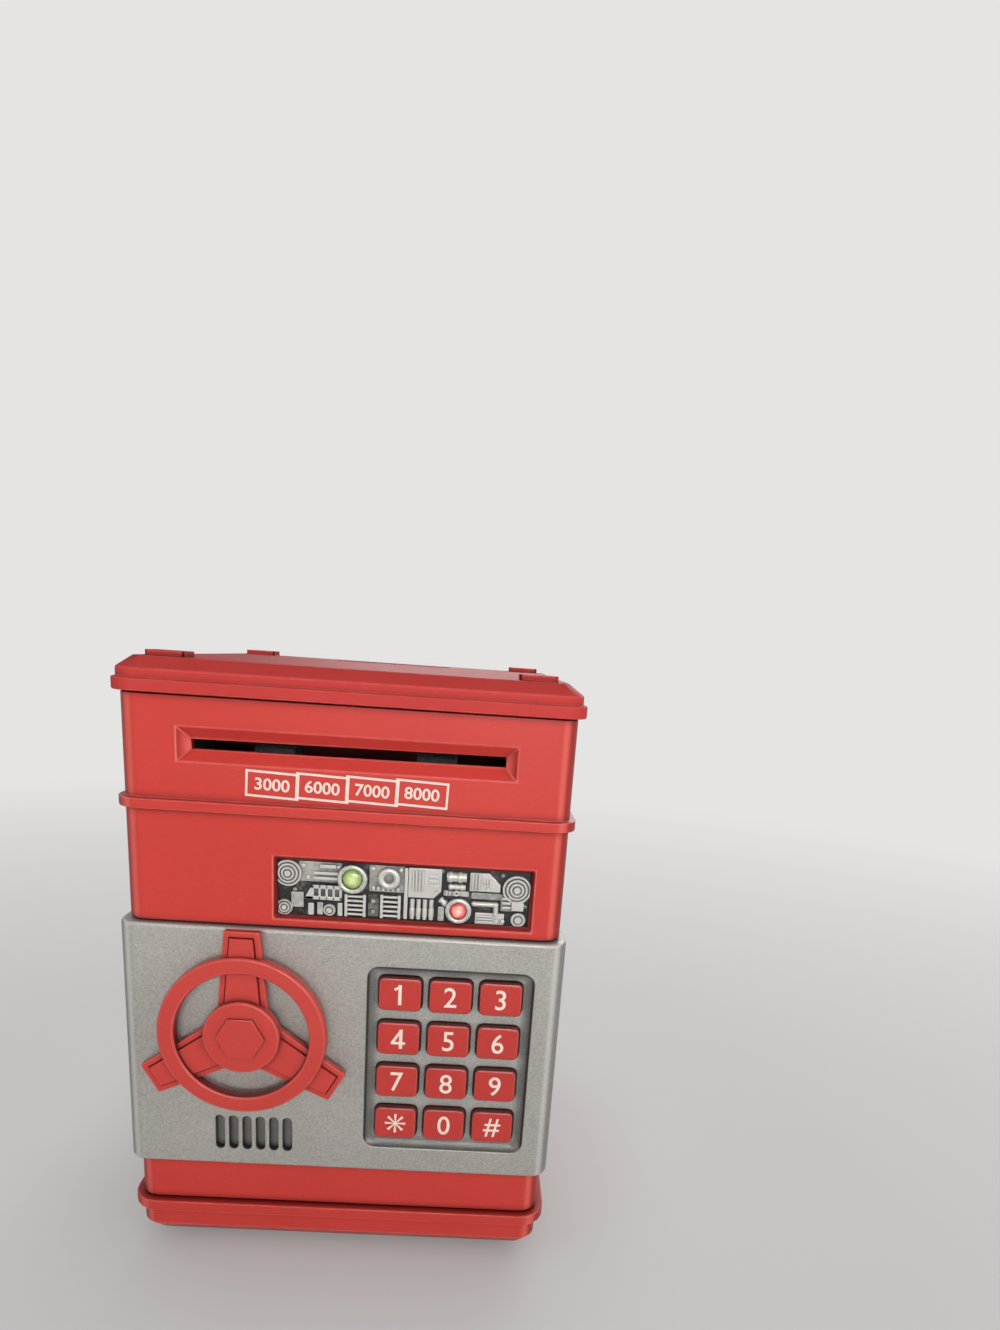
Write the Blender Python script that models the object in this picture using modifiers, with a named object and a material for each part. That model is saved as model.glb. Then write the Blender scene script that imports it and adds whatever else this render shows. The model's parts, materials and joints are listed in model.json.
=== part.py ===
"""A toy cash machine savings bank: coded door, locking hand wheel, coin slot and motor bill feeder.

The front faces -Y, the floor is Z = 0 and the origin is the middle of the footprint.
"""

import math

import bmesh
import bpy
from mathutils import Matrix, Vector

MM = 0.001

# Clearances and helpers
SEAT_GAP = 0.3 * MM       # between pieces that seat on each other
RUNNING_GAP = 0.35 * MM   # around pieces that turn or slide
SEAM_GAP = 0.4 * MM       # along the joints of the case that show
FUSE = 0.6 * MM           # depth to which shapes of one piece run into each other
PAST = 3 * MM             # how far a cutter runs past what it cuts

# Case walls
CASE_WIDTH = 128 * MM
CASE_DEPTH = 121 * MM
CASE_HEIGHT = 158.4 * MM
CASE_CORNER = 6 * MM
WALL = 2.2 * MM
RIB_RISE = 126.5 * MM     # lower edge of the belt rib above the walls' lower edge
RIB_HEIGHT = 3 * MM
RIB_PROUD = 1.8 * MM
LIP_PROUD = 2.3 * MM      # lips of the lid and the base outside the walls
LIP_HEIGHT = 3.5 * MM

# Base
FOOT_HEIGHT = 2.5 * MM
FOOT_WIDTH = 10 * MM
FOOT_DEPTH = 8 * MM
FOOT_SIDE_INSET = 19 * MM
FOOT_END_INSET = 14 * MM
BASE_HEIGHT = 15.5 * MM
BASE_FLOOR = 2.6 * MM
BASE_BEVEL = 5.5 * MM
HOLLOW_CORNER = 4.9 * MM
HOLLOW_BEVEL = 4.3 * MM

# Lid
LID_BAND = 2.6 * MM       # upright band above the lip
LID_BAND_PROUD = 1.1 * MM
LID_BEVEL_HEIGHT = 3.3 * MM
LID_BEVEL_WIDTH = 4.7 * MM
LID_WALL = 2.4 * MM
SKIRT_DEPTH = 5 * MM
SKIRT_WALL = 1.6 * MM
LUG_WIDTH = 11 * MM
LUG_DEPTH = 9 * MM
LUG_HEIGHT = 1.6 * MM
LUG_SIDE_INSET = 12 * MM
LUG_END_INSET = 10.5 * MM
LUG_CORNER = 1 * MM
COIN_SLOT_LENGTH = 36 * MM
COIN_SLOT_WIDTH = 3.6 * MM
COIN_MOUTH_MARGIN = 5 * MM
COIN_MOUTH_DEPTH = 3 * MM
COIN_SLOT_INSET = 20 * MM  # slot centre in front of the case's rear

# Bill slot in the front
BILL_RISE = 145.1 * MM    # slot centre above the walls' lower edge
BILL_SLOT_INSET = 19.7 * MM  # slot's ends inside the case's sides
BILL_SLOT_HEIGHT = 3.3 * MM
BILL_MOUTH_MARGIN = 3.2 * MM
BILL_MOUTH_DEPTH = 3.2 * MM
BILL_CHUTE_DEPTH = 6 * MM
BILL_CHUTE_WALL = 2 * MM

# Window over the door
WINDOW_INSET = 9 * MM     # window's right edge inside the case's side
WINDOW_RISE = 2.2 * MM    # window above the header's lower edge
WINDOW_WIDTH = 76 * MM
WINDOW_HEIGHT = 19.2 * MM
WINDOW_BEVEL = 1.2 * MM
LEDGE = 1.7 * MM          # shelves that close the header and the sill at the door
RELIEF_PLATE = 1.4 * MM
RELIEF_MARGIN = 2 * MM    # plate behind the window's edge
RELIEF_RISE = 1.6 * MM    # relief in front of its plate
GREEN_LAMP_LEFT = 22.8 * MM  # lamp centres from the window's nearest edges
GREEN_LAMP_DROP = 6 * MM
GREEN_LAMP_RADIUS = 3.1 * MM
RED_LAMP_RIGHT = 22 * MM
RED_LAMP_RISE = 5.4 * MM
RED_LAMP_RADIUS = 2.6 * MM
BEZEL_WIDTH = 1.2 * MM
LAMP_FLANGE = 0.7 * MM
LAMP_LENGTH = 5 * MM      # lamp behind its panel
LAMP_BOARD = 1.4 * MM
LAMP_BOARD_MARGIN = 6 * MM
LAMP_POST_RADIUS = 2.5 * MM

# Door
SILL_HEIGHT = 13.6 * MM
DOOR_HEIGHT = 79 * MM
DOOR_PROUD = 2 * MM       # in front of the case
DOOR_OVERHANG = 2 * MM    # beyond the case's sides
DOOR_CORNER = 5.5 * MM
DOOR_EDGE = 1.2 * MM
DOOR_FACE = 2.2 * MM
DOOR_WALL = 2.4 * MM
DOOR_GAP = 0.4 * MM
HINGE_DEPTH = 12.7 * MM   # hinge axis behind the door's face
HINGE_INSET = 5.3 * MM    # hinge axis inside the door's side, and the barrel's radius
HINGE_CLEARANCE = 0.5 * MM
PIN_RADIUS = 1.5 * MM
PIN_BITE = 8 * MM
HINGE_BOSS = 4 * MM
LINER = 2 * MM
LINER_INSET = 2.2 * MM
BULKHEAD = 2 * MM
ACCESS_INSET = 13 * MM    # opening behind the door, inside the case's sides
ACCESS_BORDER = 5 * MM
BULKHEAD_RISE = 21 * MM   # bulkhead above the header's lower edge

# Hand wheel and lock
WHEEL_INSET = 38 * MM     # wheel centre inside the door's left side
WHEEL_RISE = 47.8 * MM    # wheel centre above the door's lower edge
RING_RADIUS = 24.6 * MM
RING_WIDTH = 5 * MM
RING_EDGE = 0.5 * MM
RING_BACK = 3.4 * MM      # distances in front of the door's face
RING_FRONT = 7.4 * MM
SPOKE_BACK = 2.8 * MM
SPOKE_FRONT = 5.6 * MM
SPOKE_PANEL_RISE = 0.7 * MM
SPOKE_PANEL_INSET = 1.8 * MM
SPOKE_ROOT_WIDTH = 14.6 * MM
SPOKE_END_WIDTH = 10.2 * MM
SPOKE_LENGTH = 32 * MM
SPOKE_COUNT = 3
HUB_RADIUS = 11.2 * MM
HUB_FRONT = 8 * MM
HUB_BACK = 1.5 * MM
COLLAR_RADIUS = 6.2 * MM
HEX_RADIUS = 7.1 * MM
HEX_RISE = 0.7 * MM
SHAFT_RADIUS = 4.5 * MM
SPIGOT_RADIUS = 2.8 * MM
ARM_LENGTH = 27 * MM
ARM_WIDTH = 8 * MM
ARM_HUB_RADIUS = 7 * MM
ARM_THICKNESS = 2.4 * MM
LATCH_HEAD_RADIUS = 5 * MM
ARM_GAP = 0.6 * MM
ARM_REST_ANGLE = 240      # degrees from +X towards +Z
LOCK_ANGLE = 210
LOCK_RADIUS = 16 * MM
PLUNGER_RADIUS = 2 * MM
PLUNGER_LENGTH = 11.5 * MM
PLUNGER_SETBACK = 1 * MM  # plunger tip inside the door's rear plane
COIL_WIDTH = 11 * MM
COIL_HEIGHT = 12 * MM

# Keypad
KEY_WIDTH = 13 * MM
KEY_HEIGHT = 10.7 * MM
KEY_PITCH_X = 15.1 * MM
KEY_PITCH_Z = 14.4 * MM
KEY_CORNER = 1.8 * MM
KEY_BEVEL = 0.7 * MM
KEY_SINK = 0.1 * MM       # key tops inside the door's face
KEY_TRAVEL = 1.4 * MM
KEY_FLANGE = 1 * MM
KEY_FLANGE_MARGIN = 0.65 * MM
KEYPAD_INSET = 33.8 * MM  # keypad centre inside the door's right side
KEYPAD_DROP = 0.6 * MM    # and below the door's middle
KEYPAD_MARGIN = 3.4 * MM
KEYPAD_DEPTH = 2.3 * MM
KEYPAD_FLOOR = 1.8 * MM
KEYPAD_CORNER = 3.5 * MM
KEYPAD_SLOPE = 1.8 * MM
KEY_NAMES = (("1", "2", "3"), ("4", "5", "6"), ("7", "8", "9"), ("star", "0", "hash"))
DOME_RADIUS = 3.5 * MM
DOME_HEIGHT = 1 * MM
MAT_THICKNESS = 0.8 * MM
BOARD_THICKNESS = 1.6 * MM
BOARD_BORDER = 5.6 * MM   # board above and below the keys' flanges
POST_RADIUS = 2 * MM

# Speaker
SPEAKER_INSET = 39.3 * MM  # speaker centre inside the door's left side
SPEAKER_RISE = 11.5 * MM
GRILLE_SLOTS = 6
GRILLE_PITCH = 4.14 * MM
GRILLE_SLOT_WIDTH = 3 * MM
GRILLE_SLOT_HEIGHT = 11.8 * MM
GRILLE_CORNER = 1.47 * MM
SPEAKER_MARGIN = 2 * MM
SPEAKER_CORNER = 7 * MM
SPEAKER_DEPTH = 5 * MM
SPEAKER_REST_WIDTH = 8 * MM
SPEAKER_REST_HEIGHT = 6 * MM

# Bill feeder
FEED_CLEARANCE = 0.8 * MM  # feed gear behind the bill chute
TYRE_RADIUS = 5 * MM
TYRE_WIDTH = 12 * MM
TYRE_X = 24 * MM
NIP_GAP = 0.4 * MM
FEED_SHAFT_RADIUS = 1.5 * MM
CHEEK_CLEARANCE = 1.7 * MM  # cheeks outside the bill slot
CHEEK_THICKNESS = 2 * MM
CHEEK_DEPTH = 20 * MM
CHEEK_CROWN = 3.5 * MM    # cheek above the upper shaft's axis
DECK_THICKNESS = 1.6 * MM
FEEDER_FOOT_WIDTH = 12 * MM
FEEDER_FOOT_HEIGHT = 13 * MM
GEAR_MODULE = 0.8 * MM
GEAR_TEETH = 30
PINION_TEETH = 10
GEAR_WIDTH = 4 * MM
GEAR_ADDENDUM = 0.85      # in modules
GEAR_DEDENDUM = 1.25
PRESSURE_ANGLE = 20
TOOTH_SHARE = 0.42        # tooth thickness over the pitch, on the pitch circle
MOTOR_LENGTH = 25 * MM
MOTOR_DEPTH = 20 * MM
MOTOR_HEIGHT = 15 * MM
MOTOR_CORNER = 5 * MM
MOTOR_SHAFT_RADIUS = 1 * MM
MOTOR_SHAFT_BITE = 8 * MM

# Battery bay
BAY_WIDTH = 46 * MM
BAY_LENGTH = 53 * MM
BAY_HEIGHT = 15.5 * MM
BAY_SETBACK = 8 * MM      # behind the case's centre
BAY_WALL = 1.6 * MM
COVER_THICKNESS = 1.3 * MM
COVER_MARGIN = 2 * MM
COVER_EAR = 10 * MM
COVER_SCREW_OFFSET = 6 * MM
CONTACT_WIDTH = 40 * MM
CONTACT_HEIGHT = 10 * MM
CONTACT_THICKNESS = 0.6 * MM

# Screws
SCREW_RADIUS = 1.3 * MM
SCREW_HEAD_RADIUS = 2.6 * MM
SCREW_HEAD = 1.5 * MM
SCREW_SLOT = 0.8 * MM
SCREW_BITE = 8 * MM       # thread inside its boss
BOSS_RADIUS = 3.6 * MM
BOSS_WEB = 3 * MM
CASE_SCREW_SIDE_INSET = 34 * MM
CASE_SCREW_END_INSET = 10 * MM
CASE_SCREW_LAND = 3 * MM  # pillar left above the sunk screw head
LINER_SCREW_INSET = 3.4 * MM
FEEDER_SCREW_BITE = 1.2 * MM

# Facets
ROUND_STEPS = 24
SMALL_STEPS = 12          # round a screw, bore or shaft
CORNER_STEPS = 5
KEY_CORNER_STEPS = 3
SMOOTH_ANGLE = 35

# Places across the depth
WHEEL_STANDOUT = HUB_FRONT + HEX_RISE
FRONT_REACH = CASE_DEPTH / 2 + DOOR_PROUD + WHEEL_STANDOUT
REAR_REACH = CASE_DEPTH / 2 + LIP_PROUD
CASE_Y = (FRONT_REACH - REAR_REACH) / 2
FRONT_Y = CASE_Y - CASE_DEPTH / 2
REAR_Y = CASE_Y + CASE_DEPTH / 2
DOOR_FRONT_Y = FRONT_Y - DOOR_PROUD
HINGE_Y = DOOR_FRONT_Y + HINGE_DEPTH
DOOR_REAR_Y = HINGE_Y + HINGE_INSET
SEAM_Y = DOOR_REAR_Y + HINGE_CLEARANCE
LINER_REAR_Y = DOOR_REAR_Y - LINER_INSET
LINER_FRONT_Y = LINER_REAR_Y - LINER
ARM_FRONT_Y = SEAM_Y + BULKHEAD + ARM_GAP
ARM_REAR_Y = ARM_FRONT_Y + ARM_THICKNESS
FLOOR_REAR_Y = DOOR_FRONT_Y + KEYPAD_DEPTH + KEYPAD_FLOOR
FLANGE_REAR_Y = FLOOR_REAR_Y + SEAT_GAP + KEY_FLANGE
MAT_FRONT_Y = FLANGE_REAR_Y + KEY_TRAVEL + SEAT_GAP + DOME_HEIGHT
BOARD_FRONT_Y = MAT_FRONT_Y + MAT_THICKNESS + SEAT_GAP
RELIEF_FRONT_Y = FRONT_Y + WALL + SEAT_GAP
RELIEF_REAR_Y = RELIEF_FRONT_Y + RELIEF_PLATE
LAMP_BOARD_Y = RELIEF_REAR_Y + LAMP_LENGTH + SEAT_GAP
GEAR_TIP = GEAR_MODULE * (GEAR_TEETH / 2 + GEAR_ADDENDUM)
FEED_Y = FRONT_Y + BILL_CHUTE_DEPTH + FEED_CLEARANCE + GEAR_TIP
BAY_Y = CASE_Y + BAY_SETBACK

# Heights
BASE_Z = FOOT_HEIGHT
BASE_TOP_Z = BASE_Z + BASE_HEIGHT
FLOOR_TOP_Z = BASE_Z + BASE_FLOOR
CASE_Z = BASE_TOP_Z + SEAM_GAP
CASE_TOP_Z = CASE_Z + CASE_HEIGHT
LID_Z = CASE_TOP_Z + SEAM_GAP
LID_TOP_Z = LID_Z + LIP_HEIGHT + LID_BAND + LID_BEVEL_HEIGHT
RIB_Z = CASE_Z + RIB_RISE
SILL_TOP_Z = CASE_Z + SILL_HEIGHT
DOOR_Z = SILL_TOP_Z + DOOR_GAP
DOOR_TOP_Z = DOOR_Z + DOOR_HEIGHT
HEADER_Z = DOOR_TOP_Z + DOOR_GAP
BULKHEAD_TOP_Z = HEADER_Z + BULKHEAD_RISE
WINDOW_Z = HEADER_Z + WINDOW_RISE
WINDOW_TOP_Z = WINDOW_Z + WINDOW_HEIGHT
BILL_Z = CASE_Z + BILL_RISE
WHEEL_Z = DOOR_Z + WHEEL_RISE
KEYPAD_Z = DOOR_Z + DOOR_HEIGHT / 2 - KEYPAD_DROP
SPEAKER_Z = DOOR_Z + SPEAKER_RISE
FEED_Z = BILL_Z - NIP_GAP / 2 - TYRE_RADIUS
PINCH_Z = BILL_Z + NIP_GAP / 2 + TYRE_RADIUS
MOTOR_Z = FEED_Z - GEAR_MODULE * (GEAR_TEETH + PINION_TEETH) / 2

# Places across the width
DOOR_HALF = CASE_WIDTH / 2 + DOOR_OVERHANG
HINGE_X = DOOR_HALF - HINGE_INSET
BARREL_X = HINGE_X - HINGE_INSET - DOOR_WALL
WHEEL_X = -DOOR_HALF + WHEEL_INSET
SPEAKER_X = -DOOR_HALF + SPEAKER_INSET
KEYPAD_X = DOOR_HALF - KEYPAD_INSET
WINDOW_RIGHT_X = CASE_WIDTH / 2 - WINDOW_INSET
WINDOW_LEFT_X = WINDOW_RIGHT_X - WINDOW_WIDTH
WINDOW_X = (WINDOW_LEFT_X + WINDOW_RIGHT_X) / 2
BILL_SLOT_WIDTH = CASE_WIDTH - 2 * BILL_SLOT_INSET
CHEEK_X = BILL_SLOT_WIDTH / 2 + CHEEK_CLEARANCE
GEAR_X = CHEEK_X + CHEEK_THICKNESS + SEAT_GAP
KEY_SPAN_X = 2 * KEY_PITCH_X + KEY_WIDTH
KEY_SPAN_Z = 3 * KEY_PITCH_Z + KEY_HEIGHT

REACH = 2 * (CASE_WIDTH + CASE_DEPTH)


# Scene and materials
def clear_scene():
    for existing in list(bpy.data.objects):
        bpy.data.objects.remove(existing, do_unlink=True)


def new_collection(name):
    made = bpy.data.collections.new(name)
    bpy.context.scene.collection.children.link(made)
    return made


def plain_material(name, colour, roughness, metallic=0.0):
    made = bpy.data.materials.new(name)
    made.use_nodes = True
    shader = made.node_tree.nodes["Principled BSDF"]
    shader.inputs["Base Color"].default_value = (*colour, 1.0)
    shader.inputs["Roughness"].default_value = roughness
    shader.inputs["Metallic"].default_value = metallic
    made.diffuse_color = (*colour, 1.0)
    return made


clear_scene()
PARTS = new_collection("toy_cash_machine_bank")
RED = plain_material("red_plastic", (0.60, 0.045, 0.035), 0.38)
SILVER = plain_material("silver_plastic", (0.42, 0.42, 0.40), 0.42, 0.35)
GREY = plain_material("grey_plastic", (0.25, 0.25, 0.24), 0.5)
BLACK = plain_material("black_plastic", (0.02, 0.02, 0.022), 0.5)
STEEL = plain_material("steel", (0.55, 0.55, 0.56), 0.3, 1.0)
RUBBER = plain_material("rubber", (0.03, 0.03, 0.03), 0.8)
BOARD = plain_material("circuit_board", (0.03, 0.16, 0.06), 0.5)
GREEN_LENS = plain_material("green_lens", (0.05, 0.65, 0.12), 0.15)
RED_LENS = plain_material("red_lens", (0.80, 0.03, 0.02), 0.15)
CREAM = plain_material("cream_nylon", (0.75, 0.70, 0.58), 0.5)


# Shapes
def shape(mesh_maker):
    """An object from a function that fills a bmesh."""
    build = bmesh.new()
    mesh_maker(build)
    mesh = bpy.data.meshes.new("shape")
    build.to_mesh(mesh)
    build.free()
    made = bpy.data.objects.new("shape", mesh)
    bpy.context.scene.collection.objects.link(made)
    return made


def edges_along(build, axis, chosen):
    """The straight edges along an axis at which a test on their middle holds."""
    found = []
    for edge in build.edges:
        run = edge.verts[1].co - edge.verts[0].co
        middle = (edge.verts[0].co + edge.verts[1].co) / 2
        if abs(run[axis]) > 0.999 * run.length and chosen(middle):
            found.append(edge)
    return found


def fill_box(build, low, high):
    size = Vector(high) - Vector(low)
    middle = (Vector(high) + Vector(low)) / 2
    place = Matrix.Translation(middle) @ Matrix.Diagonal((*size, 1.0))
    bmesh.ops.create_cube(build, size=1.0, matrix=place)


def round_edges(build, edges, radius, steps=CORNER_STEPS):
    bmesh.ops.bevel(
        build, geom=edges, offset=radius, segments=steps, profile=0.5, affect="EDGES", clamp_overlap=False
    )


def level_edges(build, axis, level):
    """Edges that lie in one plane across an axis."""
    return [e for e in build.edges if all(abs(v.co[axis] - level) < 1e-6 for v in e.verts)]


def box(low, high, corner=0.0, axis=2, steps=CORNER_STEPS):
    """A box between two corners, with its edges along one axis rounded."""

    def fill(build):
        fill_box(build, low, high)
        if corner:
            round_edges(build, edges_along(build, axis, lambda middle: True), corner, steps)

    return shape(fill)


def beveled_box(low, high, corner, axis, level, width, height, steps=CORNER_STEPS):
    """A rounded box whose end at a level of its axis is drawn in by a sloping edge."""

    def fill(build):
        fill_box(build, low, high)
        round_edges(build, edges_along(build, axis, lambda middle: True), corner, steps)
        inward = math.copysign(1, (low[axis] + high[axis]) / 2 - level)
        round_edges(build, level_edges(build, axis, level), width, 1)
        for vert in build.verts:
            if abs(vert.co[axis] - (level + inward * width)) < 1e-6:
                vert.co[axis] = level + inward * height

    return shape(fill)


def cylinder(radius, start, end, steps=ROUND_STEPS):
    """A round bar between two points."""
    run = Vector(end) - Vector(start)
    turn = run.to_track_quat("Z", "Y").to_matrix().to_4x4()
    place = Matrix.Translation((Vector(start) + Vector(end)) / 2) @ turn

    def fill(build):
        bmesh.ops.create_cone(
            build, cap_ends=True, segments=steps, radius1=radius, radius2=radius,
            depth=run.length, matrix=place,
        )

    return shape(fill)


def funnel(middle, wide, narrow, axis, start, end):
    """A four-sided funnel along an axis, cut a little past its wide end.

    wide and narrow are the full sizes across the axis, in the order of the other two axes.
    """
    across = [a for a in range(3) if a != axis]
    spare = PAST / abs(end - start)
    outer = start - (end - start) * spare

    def fill(build):
        bmesh.ops.create_cube(build, size=1.0)
        for vert in build.verts:
            at_wide = (vert.co[axis] < 0) == (start < end)
            place = Vector(middle)
            place[axis] = outer if at_wide else end
            for which, a in enumerate(across):
                grown = wide[which] + (wide[which] - narrow[which]) * spare
                place[a] += math.copysign(grown / 2 if at_wide else narrow[which] / 2, vert.co[a])
            vert.co = place
        bmesh.ops.recalc_face_normals(build, faces=build.faces)

    return shape(fill)


def plate(points, thickness):
    """A flat outline in the XY plane, as thick as given, with its middle plane at Z = 0."""
    outline = bpy.data.curves.new("outline", "CURVE")
    outline.dimensions = "2D"
    outline.fill_mode = "BOTH"
    outline.extrude = thickness / 2
    spline = outline.splines.new("POLY")
    spline.points.add(len(points) - 1)
    for point, (x, y) in zip(spline.points, points):
        point.co = (x, y, 0.0, 1.0)
    spline.use_cyclic_u = True
    return solid_from(bpy.data.objects.new("outline", outline))


def turned(profile, steps=ROUND_STEPS):
    """A profile of (radius, height) points, from its top to its bottom, turned round the Z axis."""
    mesh = bpy.data.meshes.new("profile")
    points = [(radius, 0.0, height) for radius, height in profile]
    mesh.from_pydata(points, [(i, i + 1) for i in range(len(points) - 1)], [])
    made = bpy.data.objects.new("profile", mesh)
    screw = made.modifiers.new("turn", "SCREW")
    screw.axis = "Z"
    screw.angle = 2 * math.pi
    screw.steps = steps
    screw.render_steps = steps
    screw.use_merge_vertices = True
    screw.merge_threshold = 0.00001
    return solid_from(made)


def solid_from(made):
    """A closed mesh object from a curve or a modified object, which it replaces."""
    bpy.context.scene.collection.objects.link(made)
    graph = bpy.context.evaluated_depsgraph_get()
    mesh = bpy.data.meshes.new_from_object(made.evaluated_get(graph))
    bpy.data.objects.remove(made, do_unlink=True)
    build = bmesh.new()
    build.from_mesh(mesh)
    bmesh.ops.remove_doubles(build, verts=build.verts, dist=0.000001)
    bmesh.ops.recalc_face_normals(build, faces=build.faces)
    build.to_mesh(mesh)
    build.free()
    solid = bpy.data.objects.new("solid", mesh)
    bpy.context.scene.collection.objects.link(solid)
    return solid


def placed(made, matrix):
    made.data.transform(matrix)
    return made


def facing_front(x, y, z):
    """Turns a shape drawn in the XY plane so that its Z points to the front, and moves it to a place."""
    return Matrix.Translation((x, y, z)) @ Matrix.Rotation(math.radians(90), 4, "X")


def along_x(x, y, z):
    """Turns a shape drawn in the XY plane so that its Z points along +X, and moves it to a place."""
    return Matrix.Translation((x, y, z)) @ Matrix.Rotation(math.radians(90), 4, "Y")


def combine(body, tool, operation):
    step = body.modifiers.new("combine", "BOOLEAN")
    step.operation = operation
    step.object = tool
    graph = bpy.context.evaluated_depsgraph_get()
    mesh = bpy.data.meshes.new_from_object(body.evaluated_get(graph))
    body.modifiers.clear()
    body.data = mesh
    bpy.data.objects.remove(tool, do_unlink=True)


def fuse(body, *tools):
    for tool in tools:
        combine(body, tool, "UNION")


def cut(body, *tools):
    for tool in tools:
        combine(body, tool, "DIFFERENCE")


def finish(made, name, material, parent=None, pivot=(0.0, 0.0, 0.0)):
    """Names a piece, moves its origin to its pivot and puts it in the collection."""
    made.name = name
    made.data.name = name
    made.data.transform(Matrix.Translation(-Vector(pivot)))
    made.data.materials.clear()
    made.data.materials.append(material)
    made.data.shade_smooth()
    made.data.set_sharp_from_angle(angle=math.radians(SMOOTH_ANGLE))
    bpy.context.scene.collection.objects.unlink(made)
    PARTS.objects.link(made)
    made.location = pivot
    if parent:
        made.parent = parent
        made.location = Vector(pivot) - Vector(parent["pivot"])
    return made


def pivot_empty(name, place, parent=None):
    made = bpy.data.objects.new(name, None)
    PARTS.objects.link(made)
    made["pivot"] = place
    made.location = place
    if parent:
        made.parent = parent
        made.location = Vector(place) - Vector(parent["pivot"])
    return made


def outline_block(grow, low_z, high_z):
    """The case's outline, grown all round, as a solid between two heights."""
    low = (-CASE_WIDTH / 2 - grow, FRONT_Y - grow, low_z)
    high = (CASE_WIDTH / 2 + grow, REAR_Y + grow, high_z)
    return box(low, high, CASE_CORNER + grow)


def four_corners(side_inset, end_inset):
    """Places at the case's four corners, inside its walls."""
    for x in (-CASE_WIDTH / 2 + side_inset, CASE_WIDTH / 2 - side_inset):
        for y in (FRONT_Y + end_inset, REAR_Y - end_inset):
            yield x, y


def screw(head_place, direction, length):
    """A pan-head screw: the underside of its head, the way it points and its length below the head."""
    head = Vector(head_place)
    way = Vector(direction)
    made = cylinder(SCREW_HEAD_RADIUS, head - way * SCREW_HEAD, head, SMALL_STEPS)
    fuse(made, cylinder(SCREW_RADIUS, head - way * FUSE, head + way * length, SMALL_STEPS))
    slot_middle = head - way * SCREW_HEAD
    slot_half = Vector((SCREW_RADIUS + SCREW_SLOT / 2, SCREW_SLOT / 2, SCREW_SLOT / 2))
    cut(made, box(slot_middle - slot_half, slot_middle + slot_half))
    return made


# Case
def make_base_tray():
    base_low = (-CASE_WIDTH / 2, FRONT_Y, BASE_Z)
    base_high = (CASE_WIDTH / 2, REAR_Y, BASE_TOP_Z)
    tray = beveled_box(base_low, base_high, CASE_CORNER, 2, BASE_Z, BASE_BEVEL, BASE_BEVEL)
    fuse(tray, outline_block(LIP_PROUD, BASE_TOP_Z - LIP_HEIGHT, BASE_TOP_Z))
    hollow_low = (-CASE_WIDTH / 2 + WALL, FRONT_Y + WALL, FLOOR_TOP_Z)
    hollow_high = (CASE_WIDTH / 2 - WALL, REAR_Y - WALL, BASE_TOP_Z + PAST)
    hollow = beveled_box(hollow_low, hollow_high, HOLLOW_CORNER, 2, FLOOR_TOP_Z, HOLLOW_BEVEL, BASE_BEVEL)
    cut(tray, hollow)
    for x, y in four_corners(FOOT_SIDE_INSET, FOOT_END_INSET):
        foot_low = (x - FOOT_WIDTH / 2, y - FOOT_DEPTH / 2, 0.0)
        foot_high = (x + FOOT_WIDTH / 2, y + FOOT_DEPTH / 2, BASE_Z + FUSE)
        fuse(tray, box(foot_low, foot_high))
    for x, y in case_screw_places():
        fuse(tray, cylinder(BOSS_RADIUS, (x, y, FLOOR_TOP_Z - FUSE), (x, y, BASE_TOP_Z), SMALL_STEPS))
        head_z = BASE_TOP_Z - CASE_SCREW_LAND
        cut(tray, cylinder(SCREW_HEAD_RADIUS + SEAT_GAP, (x, y, BASE_Z - PAST), (x, y, head_z), SMALL_STEPS))
        cut(tray, cylinder(SCREW_RADIUS + SEAT_GAP, (x, y, BASE_Z), (x, y, BASE_TOP_Z + PAST), SMALL_STEPS))
    screw_y = BAY_Y + BAY_LENGTH / 2 + COVER_SCREW_OFFSET
    post_top = FLOOR_TOP_Z + SCREW_BITE
    post = cylinder(BOSS_RADIUS - FUSE, (0, screw_y, FLOOR_TOP_Z - FUSE), (0, screw_y, post_top), SMALL_STEPS)
    fuse(tray, post)
    bore_end = (0, screw_y, post_top + PAST)
    cut(tray, cylinder(SCREW_RADIUS + SEAT_GAP, (0, screw_y, BASE_Z - PAST), bore_end, SMALL_STEPS))
    low, high = battery_cover_span(SEAT_GAP)
    cut(tray, box((*low, BASE_Z - PAST), (*high, BASE_Z + COVER_THICKNESS + SEAT_GAP)))
    bay_low = (-BAY_WIDTH / 2, BAY_Y - BAY_LENGTH / 2, BASE_Z)
    bay_high = (BAY_WIDTH / 2, BAY_Y + BAY_LENGTH / 2, FLOOR_TOP_Z + PAST)
    cut(tray, box(bay_low, bay_high))
    finish(tray, "base_tray", RED)


def case_screw_places():
    return four_corners(CASE_SCREW_SIDE_INSET, CASE_SCREW_END_INSET)


def make_rear_shell():
    shell = outline_block(0, CASE_Z, CASE_TOP_Z)
    fuse(shell, outline_block(RIB_PROUD, RIB_Z, RIB_Z + RIB_HEIGHT))
    cut(shell, outline_block(-WALL, CASE_Z - PAST, CASE_TOP_Z + PAST))
    cut(shell, box((-REACH, FRONT_Y - REACH, -REACH), (REACH, SEAM_Y + SEAM_GAP / 2, REACH)))
    boss_top = CASE_Z + SCREW_BITE + PAST
    for x, y in case_screw_places():
        if y > CASE_Y:
            fuse(shell, cylinder(BOSS_RADIUS, (x, y, CASE_Z), (x, y, boss_top), SMALL_STEPS))
            web_low = (x - BOSS_WEB / 2, y, CASE_Z + FUSE)
            web_high = (x + BOSS_WEB / 2, REAR_Y - WALL + FUSE, boss_top - FUSE)
            fuse(shell, box(web_low, web_high))
            bore_top = (x, y, CASE_Z + SCREW_BITE + SEAT_GAP)
            cut(shell, cylinder(SCREW_RADIUS + SEAT_GAP, (x, y, CASE_Z - PAST), bore_top, SMALL_STEPS))
    finish(shell, "rear_shell", RED)


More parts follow.
